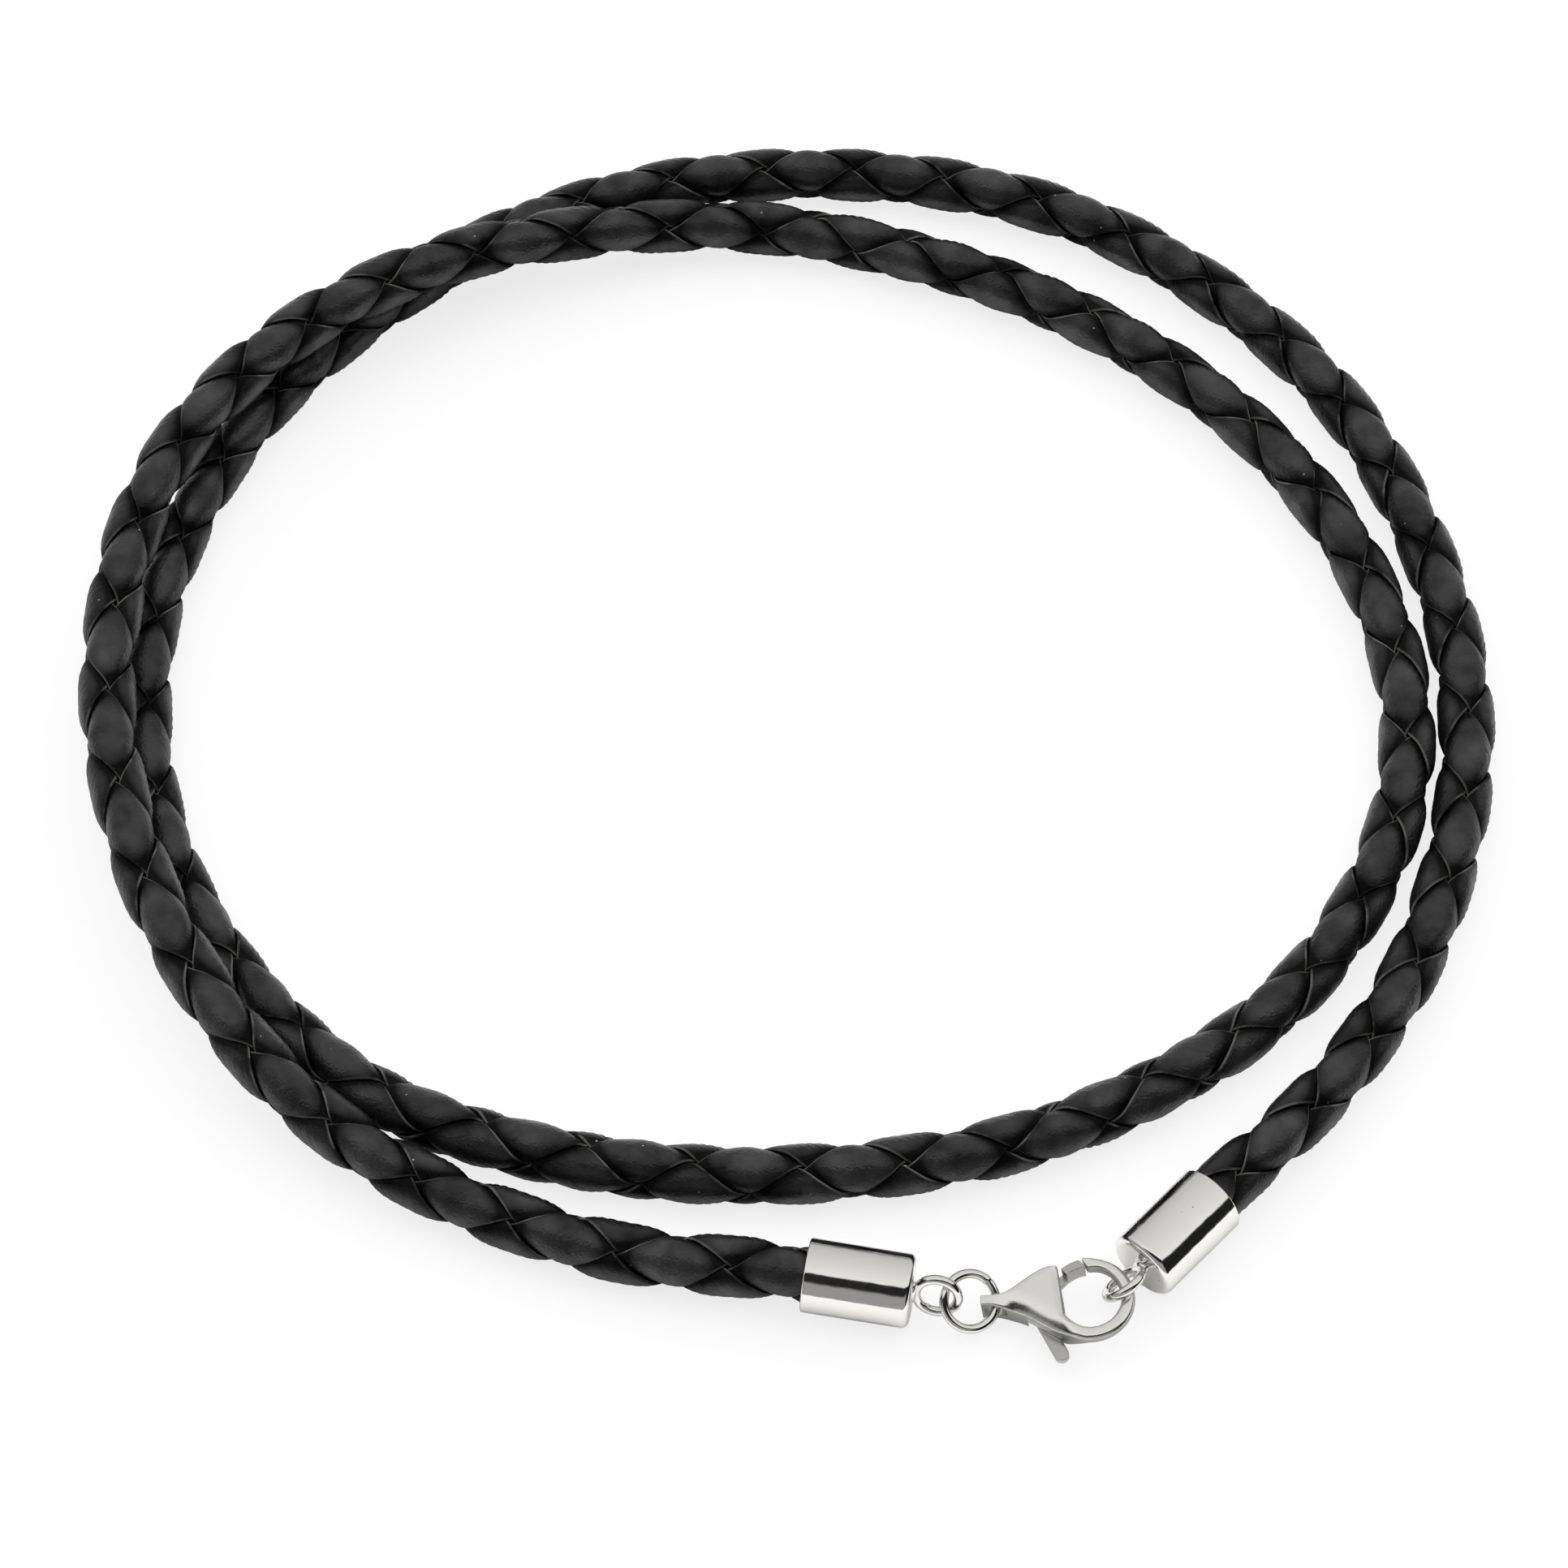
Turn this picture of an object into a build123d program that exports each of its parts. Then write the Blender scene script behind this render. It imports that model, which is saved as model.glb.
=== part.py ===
from build123d import *
import math
import os

# Braided leather cord necklace, lying in two turns and closed by its clasp.
# Millimetres, +Z up, X to the right, Y away from the clasp side. The ground is z = 0.

# Cord: a round braid of four flat leather laces
cord_diameter = 4.24
braid_pitch = 15.2
lace_thickness = 0.6
lace_edge_angle = 70
lace_shoulder_angle = 31
lace_wave = 0.45
wave_flatness = 1.5
sections_per_crossing = 5

# End caps: plain round cups with a soldered ring
cap_diameter = 5.1
cap_length = 7.4
cap_wall = 0.36
cap_end_thickness = 0.9
cap_end_rounding = 0.5
cap_rim_rounding = 0.12
cap_ring_diameter = 2.9
cap_ring_wire = 0.68
solder_depth = 0.14
cord_end_gap = 0.1

# Jump ring between the left cap and the clasp
jump_ring_diameter = 3.74
jump_ring_wire = 0.66
jump_ring_lean = 26

# Clasp: trigger clasp, drop-shaped body with a ring hook and a sprung lever
clasp_thickness = 2.2
clasp_tail_width = 0.74
clasp_tail_overhang = 1.0
clasp_eye_diameter = 1.5
clasp_body_length = 4.3
clasp_front_lean = 0.3
clasp_shoulder_width = 4.65
hook_reach = 6.4
hook_outer_diameter = 6.14
hook_opening_diameter = 4.3
hook_opening_shift = 0.1
hook_thickness = 0.92
hook_tip_angle = 99
hook_tip_slant = 7
hook_root_angle = -105
hook_slope_length = 1.4
hook_edge_bevel = 0.19
front_root_angle = 218

# Outline of the clasp's body. Columns: share of its length, share of the tail's or shoulder's half width
far_waist = (0.24, 1.75)
far_swell = (0.7, 0.77)
near_waist = (0.24, 2.0)
near_swell = (0.65, 0.73)
front_corner = (0.2, 0.8)

# Lever of the clasp
lever_thickness = 0.5
lever_gap = 0.05
lever_travel = 22
lever_pivot_reach = 2.6
lever_hub_diameter = 1.8
lever_arm_width = 0.85
rivet_diameter = 0.7
rivet_head_diameter = 1.2
rivet_head_thickness = 0.13
gate_width = 0.62
gate_height = 1.45
gate_gap = 0.14
gate_end_angle = 130
gate_root_lap = 5
pocket_steps = 5
thumb_reach = 4.55
thumb_angle = -65
thumb_width = 1.0

# How the fastening lies: eye of the clasp on the ground plan, and directions in degrees
clasp_eye_place = (14.1, -49.4)
clasp_eye_height = 1.4
clasp_heading = 0
hook_hold_angle = 25
jump_ring_heading = -2
cap_ring_seat = 0.5
left_cap_heading = -10
left_cap_roll = -110
right_cap_heading = -134
right_cap_roll = 54

# Course of the cord from the right cap round to the left cap, its points chosen by eye.
# Columns: x, y, lift as a share of the cord's diameter, roll of the braid in degrees, and how far
# its laces run ahead of their pitch in degrees.
COURSE = [
    (37.2, -33.6, 0.00, 105, -20),
    (44.2, -23.6, 0.00, 100, 0),
    (49.0, -10.0, 0.00, 95, 10),
    (50.0, 4.5, 0.00, 85, 15),
    (46.5, 19.5, 0.00, 75, 20),
    (39.8, 32.3, 0.00, 70, 20),
    (27.5, 43.9, 0.00, 75, 5),
    (15.0, 49.4, 0.00, 70, -15),
    (2.0, 51.0, 0.00, 70, 0),
    (-11.0, 49.5, 0.00, 70, 0),
    (-23.9, 43.9, 0.00, 75, 0),
    (-33.7, 35.7, 0.00, 70, 0),
    (-41.9, 25.4, 0.00, 70, -5),
    (-47.0, 12.0, 0.00, 70, -15),
    (-47.7, -0.5, 0.00, 70, -20),
    (-45.5, -12.0, 0.00, 75, -30),
    (-39.9, -22.8, 0.00, 75, -40),
    (-30.8, -32.3, 0.00, 70, -45),
    (-20.9, -36.9, 0.00, 65, -50),
    (-9.5, -39.4, 0.00, 75, -50),
    (1.5, -39.6, 0.00, 100, -45),
    (13.0, -38.0, 0.00, 125, -30),
    (24.1, -33.6, 0.00, 155, -15),
    (35.8, -25.3, 0.00, 185, -10),
    (43.7, -12.1, 0.00, 180, 5),
    (45.6, 1.5, 0.00, 170, 10),
    (41.7, 15.9, 0.00, 175, 0),
    (33.1, 28.1, 0.00, 175, -25),
    (21.0, 37.5, 0.00, 180, -40),
    (8.0, 43.0, 0.00, 195, -60),
    (-4.5, 45.5, 0.06, 220, -65),
    (-17.5, 42.9, 0.50, 220, -85),
    (-27.0, 38.9, 0.89, 225, -95),
    (-36.3, 32.9, 1.03, 235, -95),
    (-44.5, 23.8, 1.00, 245, -80),
    (-49.1, 13.0, 0.90, 250, -90),
    (-50.0, 0.5, 0.87, 260, -90),
    (-48.7, -8.5, 0.87, 265, -100),
    (-45.3, -19.2, 0.89, 275, -125),
    (-39.0, -29.5, 0.65, 280, -135),
    (-31.8, -36.5, 0.32, 285, -135),
    (-23.1, -41.5, 0.00, 295, -125),
    (-12.0, -45.7, 0.00, 300, -125),
]

cord_radius = cord_diameter / 2
cap_radius = cap_diameter / 2
cap_bore_depth = cap_length - cap_end_thickness
cap_ring_radius = cap_ring_diameter / 2
hook_outer_radius = hook_outer_diameter / 2
hook_inner_radius = hook_opening_diameter / 2
UP = Vector(0, 0, 1)


def heading(degrees_round, degrees_up=0.0):
    """Unit vector: turned from +X towards +Y, then raised towards +Z."""
    turn = math.radians(degrees_round)
    rise = math.radians(degrees_up)
    flat = math.cos(rise)
    return Vector(flat * math.cos(turn), flat * math.sin(turn), math.sin(rise))


# Where each piece of the fastening lies, worked out along the chain from the clasp's eye
eye = Vector(clasp_eye_place[0], clasp_eye_place[1], clasp_eye_height)
hold = math.radians(hook_hold_angle)
hold_radius = (hook_outer_radius + hook_inner_radius + hook_opening_shift * math.sin(hold)) / 2
hold_x = hook_reach + hold_radius * math.cos(hold)
hold_y = hold_radius * math.sin(hold)
clasp_rise = math.degrees(math.asin((cap_radius - clasp_eye_height) / hold_x))
clasp_x = heading(clasp_heading, clasp_rise)
clasp_plane = Plane(origin=eye, x_dir=clasp_x, z_dir=heading(clasp_heading, clasp_rise + 90))
hook_hold = clasp_plane.from_local_coords(Vector(hold_x, hold_y, 0))

ring_rise = math.degrees(math.asin((cap_radius - clasp_eye_height) / jump_ring_diameter))
ring_x = heading(jump_ring_heading + 180, ring_rise)
ring_hold = eye + ring_x * jump_ring_diameter
ring_centre = (eye + ring_hold) / 2
ring_normal = ring_x.cross(heading(90, jump_ring_lean)).normalized()

left_axis = heading(left_cap_heading)
left_ring_centre = ring_hold - left_axis * cap_ring_seat
right_axis = heading(right_cap_heading)
right_ring_centre = hook_hold
ring_offset = cap_ring_radius + cap_ring_wire / 2 - solder_depth
lever_bottom = -clasp_thickness / 2 + rivet_head_thickness + lever_gap
left_end = left_ring_centre - left_axis * ring_offset
right_end = right_ring_centre - right_axis * ring_offset


def cap(end, axis, roll):
    """Cup along +Z with its closed end at the origin and its ring beyond, then laid on the axis."""
    shell = Pos(0, 0, -cap_length / 2) * Cylinder(cap_radius, cap_length)
    outer = shell.edges().filter_by(GeomType.CIRCLE).sort_by(Axis.Z)
    shell = fillet(outer[-1], cap_end_rounding)
    bore = Cylinder(cap_radius - cap_wall, 2 * cap_bore_depth)
    shell -= Pos(0, 0, -cap_length) * bore
    rim = shell.edges().filter_by(GeomType.CIRCLE).sort_by(Axis.Z)[:2]
    shell = fillet(rim, cap_rim_rounding)
    wire_path = Torus(cap_ring_radius, cap_ring_wire / 2)
    ring = Pos(0, 0, ring_offset) * Rot(90, 0, 0) * wire_path
    turned = Rot(0, 0, roll) * (shell + ring)
    side = UP.cross(axis).normalized()
    return Plane(origin=end, x_dir=side, z_dir=axis) * turned


def jump_ring():
    """Plain round ring through the left cap's ring and the clasp's eye."""
    torus = Torus(jump_ring_diameter / 2, jump_ring_wire / 2)
    return Plane(origin=ring_centre, x_dir=ring_x, z_dir=ring_normal) * torus


# Course of the cord as a smooth curve
def course_points():
    """Centre line points, rolls and leads of the laces: bore, mouth, chosen points, mouth, bore."""
    inside = cap_bore_depth - cord_end_gap
    steps = (inside, inside / 2, 0.0, -cap_bore_depth / 2)
    mouth_right = right_end - right_axis * cap_length
    mouth_left = left_end - left_axis * cap_length
    points = [mouth_right + right_axis * step for step in steps]
    turns = [COURSE[0][3:]] * len(steps)
    for x, y, lift, roll, lead in COURSE:
        points.append(Vector(x, y, cord_radius + lift * cord_diameter))
        turns.append((roll, lead))
    points += [mouth_left + left_axis * step for step in reversed(steps)]
    turns += [COURSE[-1][3:]] * len(steps)
    return points, [float(roll) for roll, _ in turns], [float(lead) for _, lead in turns]


def smooth(values):
    """Control values of a cubic B-spline that passes close to the given values."""
    inner = range(1, len(values) - 1)
    bend = [values[k] - (values[k - 1] - values[k] * 2 + values[k + 1]) / 6 for k in inner]
    control = [values[0]] + bend + [values[-1]]
    return [control[0] * 2 - control[1]] + control + [control[-1] * 2 - control[-2]]


def blend(control, k, t):
    """Value of the cubic B-spline on its span k at t from 0 to 1."""
    weights = ((1 - t) ** 3, 3 * t**3 - 6 * t**2 + 4, -3 * t**3 + 3 * t**2 + 3 * t + 1, t**3)
    parts = [control[k + j] * (w / 6) for j, w in enumerate(weights)]
    return parts[0] + parts[1] + parts[2] + parts[3]


def on_ground(point):
    """The point, raised where needed so that the cord lies on the ground."""
    return Vector(point.X, point.Y, max(point.Z, cord_radius))


def cord_line(steps_per_span=40):
    """Dense centre line: arc length, point, roll and lead at each step."""
    points, rolls, leads = course_points()
    last = (points[-1], rolls[-1], leads[-1])
    places, rolls, leads = smooth(points), smooth(rolls), smooth(leads)
    line = []
    length = 0.0
    for k in range(len(points) - 1):
        for step in range(steps_per_span):
            t = step / steps_per_span
            here = on_ground(blend(places, k, t))
            if line:
                length += (here - line[-1][1]).length
            line.append((length, here, blend(rolls, k, t), blend(leads, k, t)))
    length += (last[0] - line[-1][1]).length
    line.append((length, *last))
    return line


def stations(line):
    """Evenly spaced frames along the cord: turn of the braid, point, up, side and roll."""
    total = line[-1][0]
    spacing = braid_pitch / 2 / sections_per_crossing
    count = int(total / spacing)
    margin = (total - count * spacing) / 2
    frames = []
    k = 0
    for n in range(count + 1):
        at = margin + n * spacing
        while k < len(line) - 2 and line[k + 1][0] < at:
            k += 1
        share = (at - line[k][0]) / (line[k + 1][0] - line[k][0])
        point, roll, lead = (a + (b - a) * share for a, b in zip(line[k][1:], line[k + 1][1:]))
        turn = 2 * math.pi * n * spacing / braid_pitch + math.radians(lead)
        along = (line[k + 1][1] - line[k][1]).normalized()
        up = (UP - along * UP.dot(along)).normalized()
        frames.append((turn, point, up, along.cross(up), roll))
    return frames


def wave(angle):
    """Rise and dip of a lace between its crossings, flattened at the top and bottom."""
    c = math.cos(angle)
    return wave_flatness * c - (wave_flatness - 1) * c**3


def lace_section(frame, hand, side):
    """Five corners of a lace's section: two edges, two shoulders, and the middle of its back."""
    turn, point, up, across, roll = frame
    middle = cord_radius - lace_wave - lace_thickness / 2
    corners = (
        (-lace_edge_angle, 0.0),
        (-lace_shoulder_angle, lace_thickness / 2),
        (lace_shoulder_angle, lace_thickness / 2),
        (lace_edge_angle, 0.0),
        (0.0, -lace_thickness / 2),
    )
    section = []
    for offset, rise in corners:
        angle = hand * (turn + math.radians(offset)) + math.radians(side)
        over = hand * math.cos(math.radians(side))
        radius = middle + lace_wave * over * wave(angle + hand * turn) + rise
        angle += math.radians(roll)
        section.append(point + up * (radius * math.cos(angle)) + across * (radius * math.sin(angle)))
    return section


def lace(frames, hand, side):
    """One lace of the braid as a closed solid of flat triangles."""
    sections = [lace_section(frame, hand, side) for frame in frames]
    corners = len(sections[0])
    triangles = []
    for near, far in zip(sections, sections[1:]):
        for j in range(corners):
            k = (j + 1) % corners
            if (near[j] - far[k]).length < (near[k] - far[j]).length:
                triangles.append((near[j], near[k], far[k]))
                triangles.append((near[j], far[k], far[j]))
            else:
                triangles.append((near[j], near[k], far[j]))
                triangles.append((near[k], far[k], far[j]))
    for j in range(corners - 2):
        triangles.append((sections[0][-1], sections[0][j + 1], sections[0][j]))
        triangles.append((sections[-1][-1], sections[-1][j], sections[-1][j + 1]))
    if hand < 0:
        triangles = [(c, b, a) for a, b, c in triangles]
    faces = [Face(Wire.make_polygon(corner, close=True)) for corner in triangles]
    return Solid(Shell(faces))


# Clasp in its own plane: x from the eye to the hook, y to the far side, z out of the flat
def on_hook(radius, angle, shift=0.0):
    """Point of the clasp's plane at a radius and angle about the hook's centre."""
    turn = math.radians(angle)
    return Vector(hook_reach + radius * math.cos(turn), shift + radius * math.sin(turn), 0)


def raised(flat, bottom, height):
    """Plate of a flat outline, from a bottom level upwards."""
    return Pos(0, 0, bottom) * extrude(flat, height, dir=(0, 0, 1))


def body_outline():
    """Flat outline of body and hook: narrow tail, far shoulder, front face, ring with its tip."""
    tail = clasp_tail_width / 2
    shoulder = clasp_shoulder_width / 2
    length = clasp_body_length
    back = -clasp_tail_overhang
    root = math.radians(hook_root_angle + 90)
    far_side = Spline(
        [
            (back, tail),
            (length * far_waist[0], tail * far_waist[1]),
            (length * far_swell[0], shoulder * far_swell[1]),
            (length, shoulder),
        ],
        tangents=[(1, 0.05), (1, 0.25)],
    )
    corner = (length + clasp_front_lean * front_corner[0], shoulder * front_corner[1])
    nose = Line(far_side @ 1, corner)
    front = ThreePointArc(
        nose @ 1,
        (length + clasp_front_lean, 0),
        on_hook(hook_inner_radius, front_root_angle, hook_opening_shift),
    )
    tip_inside = hook_tip_angle - hook_tip_slant
    middle = (front_root_angle - 360 + tip_inside) / 2
    inside = ThreePointArc(
        front @ 1,
        on_hook(hook_inner_radius, middle, hook_opening_shift),
        on_hook(hook_inner_radius, tip_inside, hook_opening_shift),
    )
    tip = Line(inside @ 1, on_hook(hook_outer_radius, hook_tip_angle))
    outside = ThreePointArc(
        tip @ 1,
        on_hook(hook_outer_radius, 0),
        on_hook(hook_outer_radius, hook_root_angle),
    )
    near_side = Spline(
        [
            outside @ 1,
            (length * near_swell[0], -shoulder * near_swell[1]),
            (length * near_waist[0], -tail * near_waist[1]),
            (back, -tail),
        ],
        tangents=[(-math.cos(root), -math.sin(root)), (-1, 0.05)],
    )
    end = Line(near_side @ 1, far_side @ 0)
    return make_face([far_side, nose, front, inside, tip, outside, near_side, end])


def thickness_profile():
    """Side view of the clasp: thick body, then a slope down to the thinner hook."""
    half = clasp_thickness / 2
    hook_half = hook_thickness / 2
    start = clasp_body_length
    end = start + hook_slope_length
    back = -2 * clasp_tail_overhang
    far = hook_reach + hook_outer_diameter
    upper = [(back, half), (start, half), (end, hook_half), (far, hook_half)]
    lower = [(x, -z) for x, z in reversed(upper)]
    corners = [Vector(x, 0, z) for x, z in upper + lower]
    return Face(Wire.make_polygon(corners, close=True))


def hook_bevels():
    """What the bevels cut from the upper edges of the hook, beyond the slope: a collar and a cone."""
    bevel = hook_edge_bevel
    seat = (Align.CENTER, Align.CENTER, Align.MIN)
    collar = Cylinder(hook_outer_diameter, bevel, align=seat)
    collar -= Cone(hook_outer_radius, hook_outer_radius - bevel, bevel, align=seat)
    sink = Cone(hook_inner_radius, hook_inner_radius + bevel, bevel, align=seat)
    cuts = Pos(hook_reach, 0, 0) * collar + Pos(hook_reach, hook_opening_shift, 0) * sink
    far = 2 * hook_outer_diameter
    zone = Pos(clasp_body_length + hook_slope_length + far / 2, 0, 0) * Box(far, far, far)
    return Pos(0, 0, hook_thickness / 2 - bevel) * (cuts & zone)


def lever_outline(margin):
    """Flat outline of the lever: hub, gate arm and thumb arm, grown by a margin."""
    gate_middle = (hook_outer_radius + hook_inner_radius) / 2
    gate_root = on_hook(gate_middle, gate_end_angle - gate_root_lap)
    turn = math.radians(thumb_angle)
    pivot = Vector(lever_pivot_reach, 0, 0)
    thumb_end = pivot + Vector(math.cos(turn), math.sin(turn), 0) * (thumb_reach - thumb_width / 2)
    outline = Pos(pivot) * Circle(lever_hub_diameter / 2 + margin)
    for end, width in ((gate_root, lever_arm_width), (thumb_end, thumb_width)):
        arm = end - pivot
        reach = arm.length
        bar = Pos(reach / 2, 0) * Rectangle(reach, width + 2 * margin)
        bar += Pos(reach, 0) * Circle(width / 2 + margin)
        outline += Pos(pivot) * Rot(0, 0, math.degrees(math.atan2(arm.Y, arm.X))) * bar
    return outline


def clasp_body():
    """Body, hook and rivet in one casting, with the lever's pocket open below."""
    half = clasp_thickness / 2
    width = hook_outer_diameter
    plate = raised(body_outline(), -half, clasp_thickness)
    body = plate & extrude(thickness_profile(), width, both=True)
    bevels = hook_bevels()
    body -= bevels
    body -= mirror(bevels, about=Plane.XY)
    body -= Rot(90, 0, 0) * Cylinder(clasp_eye_diameter / 2, width)
    ceiling = lever_bottom + lever_thickness + lever_gap
    pivot = Pos(lever_pivot_reach, 0)
    for step in range(pocket_steps):
        turn = Rot(0, 0, -lever_travel * step / (pocket_steps - 1))
        swept = pivot * turn * pivot.inverse() * lever_outline(lever_gap)
        body -= raised(swept, -clasp_thickness, ceiling + clasp_thickness)
    post = Pos(0, 0, (ceiling - half + lever_gap) / 2) * Cylinder(
        rivet_diameter / 2, ceiling + half + lever_gap
    )
    head = Pos(0, 0, -half + rivet_head_thickness / 2) * Cylinder(
        rivet_head_diameter / 2, rivet_head_thickness
    )
    return clasp_plane * (body + pivot * post + pivot * head)


def clasp_lever():
    """Sprung lever: plate on the rivet, gate that closes the hook, and thumb tab."""
    plate = raised(lever_outline(0), lever_bottom, lever_thickness)
    middle = (hook_outer_radius + hook_inner_radius) / 2
    inner = middle - gate_width / 2
    outer = middle + gate_width / 2
    start = hook_tip_angle + math.degrees(gate_gap / middle)
    between = (start + gate_end_angle) / 2
    rim = ThreePointArc(on_hook(outer, start), on_hook(outer, between), on_hook(outer, gate_end_angle))
    root = Line(rim @ 1, on_hook(inner, gate_end_angle))
    bore = ThreePointArc(
        root @ 1, on_hook(inner, between), on_hook(inner, start - hook_tip_slant)
    )
    band = make_face([rim, root, bore, Line(bore @ 1, rim @ 0)])
    gate = raised(band, lever_bottom, gate_height)
    hole = Pos(lever_pivot_reach, 0) * Cylinder(rivet_diameter / 2 + lever_gap, 2 * clasp_thickness)
    return clasp_plane * (plate + gate - hole)


def save(shape, name):
    """Write one sub-part to its own file."""
    shape.label = name
    export_step(shape, "parts/" + name + ".step")


os.makedirs("parts", exist_ok=True)
cord_course = cord_line()
cord_frames = stations(cord_course)
print("cord length", round(cord_course[-1][0], 1), "sections", len(cord_frames))
laces = {
    "lace_1": (1, 0),
    "lace_2": (1, 180),
    "lace_3": (-1, 0),
    "lace_4": (-1, 180),
}
for lace_name, (lace_hand, lace_side) in laces.items():
    save(lace(cord_frames, lace_hand, lace_side), lace_name)
save(cap(left_end, left_axis, left_cap_roll), "end_cap_left")
save(cap(right_end, right_axis, right_cap_roll), "end_cap_right")
save(jump_ring(), "jump_ring")
save(clasp_body(), "clasp_body")
save(clasp_lever(), "clasp_lever")
pivot_place = clasp_plane.from_local_coords(Vector(lever_pivot_reach, 0, lever_bottom))
print("lever pivot", pivot_place, "axis", clasp_plane.z_dir)
print("left mouth", left_end - left_axis * cap_length, "right mouth", right_end - right_axis * cap_length)
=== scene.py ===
import functools
import math

import bmesh
import bpy
import numpy as np
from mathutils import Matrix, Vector
from mathutils.geometry import delaunay_2d_cdt


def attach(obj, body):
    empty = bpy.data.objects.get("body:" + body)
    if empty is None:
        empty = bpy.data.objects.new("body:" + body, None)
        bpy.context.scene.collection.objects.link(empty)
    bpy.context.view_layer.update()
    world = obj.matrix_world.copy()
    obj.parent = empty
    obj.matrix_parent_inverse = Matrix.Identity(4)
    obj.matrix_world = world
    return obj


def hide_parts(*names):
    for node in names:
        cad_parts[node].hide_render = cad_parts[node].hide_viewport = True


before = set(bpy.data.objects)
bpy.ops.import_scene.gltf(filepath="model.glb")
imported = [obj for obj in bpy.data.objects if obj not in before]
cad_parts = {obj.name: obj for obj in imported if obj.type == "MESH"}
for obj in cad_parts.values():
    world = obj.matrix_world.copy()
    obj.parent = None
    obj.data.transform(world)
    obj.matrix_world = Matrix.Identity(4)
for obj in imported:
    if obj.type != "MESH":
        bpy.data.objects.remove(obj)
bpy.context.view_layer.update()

bl_info = {
    "name": "Braided leather cord necklace",
    "version": (1, 0, 0),
    "blender": (4, 5, 0),
    "location": "3D View > Sidebar > Necklace",
    "description": "Builds a four-lace leather cord with silver caps, jump ring and trigger clasp",
    "category": "Add Mesh",
}

MM = 0.001
UP = np.array([0.0, 0.0, 1.0])
COURSE_STEPS = 40
NECKLACE, LEVER = "necklace", "lever"
WHITE = (1.0, 1.0, 1.0, 1.0)

# Sizes of the leather's patterns. Pores are nearer 0.05 mm, drawn coarser so that they show.
PORE, CREASE, WAX_PATCH, DUST_SPACING = 0.17 * MM, 1.1 * MM, 2.4 * MM, 2.2 * MM
LEATHER_ROUGHNESS = (0.3, 0.48)
WAX_SHEEN = 0.62
STRIP_SHIFT = 7.3 * MM       # keeps the creases of one lace from repeating on the next

# Sizes of the silver's patterns. Scratches are nearer 0.01 mm, drawn coarser so that they show.
SILVER_WAVE, HAIRLINE, PIT_SPACING, PIT_PATCH = 2.0 * MM, 0.08 * MM, 0.5 * MM, 3.0 * MM
BRUSHING_TURN = (0.3, 0.2, 0.7)
CAST_ROUGHNESS = 0.48

# Light: a box seen at unit height as (axis, half width, blur), and fades as (from, to, light at
# each), by depth in the box, by height in the room and by how far to the right the flag stands
BOX_TILT = math.radians(33)
BOX_SIDES = (("X", 2.1, 0.25), ("Y", 1.28, 0.06))
BOX_FADE = (-1.3, 1.0, 1.0, 0.6)
ROOM_FADE = (0.6, 0.7, 0.36, 0.02)
FLAG_FADE = (0.45, 0.6, 1.0, 0.04)
BOX_FILL, ROOM_FILL = 2.4, 0.5

# Finishes of the silver: roughness, and how strongly casting pits show
FINISHES = {
    "polished_sterling_silver": (0.09, 1.0),    # a clear mirror with a few pits
    "buffed_sterling_silver": (0.17, 0.5),      # a soft mirror that spreads the light a little
    "tumbled_sterling_silver": (0.22, 0.0),     # satin, with no clear reflection
}

# Faces round each turned shape, and also round its wire where it is a ring
FACES = {"cup": 144, "loop": (96, 28), "bead": 40, "jump_ring": (128, 32), "eye": 64, "rivet": 48}

# Fineness and small edges of the cut silver
BODY_GRID, LEVER_GRID, GATE_GRID, POCKET_GRID = 0.13 * MM, 0.25 * MM, 0.12 * MM, 0.4 * MM
EDGE_RUN = 1.5 * MM          # past the body's front, the edge's rounding grows to the hook's
TIP_RUN = 1.0 * MM           # round the hook's tip it is small again
POCKET_ROUNDING = 0.01 * MM
HEAD_EDGE, HEAD_DOME = 0.05 * MM, 0.012 * MM
SIDE_STEPS = 12
LIP_STEPS = 30               # points of the hook's opening that the sloping lip follows
BACK_DOME = 0.6              # how full the back of a lace is beside its face
SHARP_ANGLE = math.radians(32)

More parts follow.
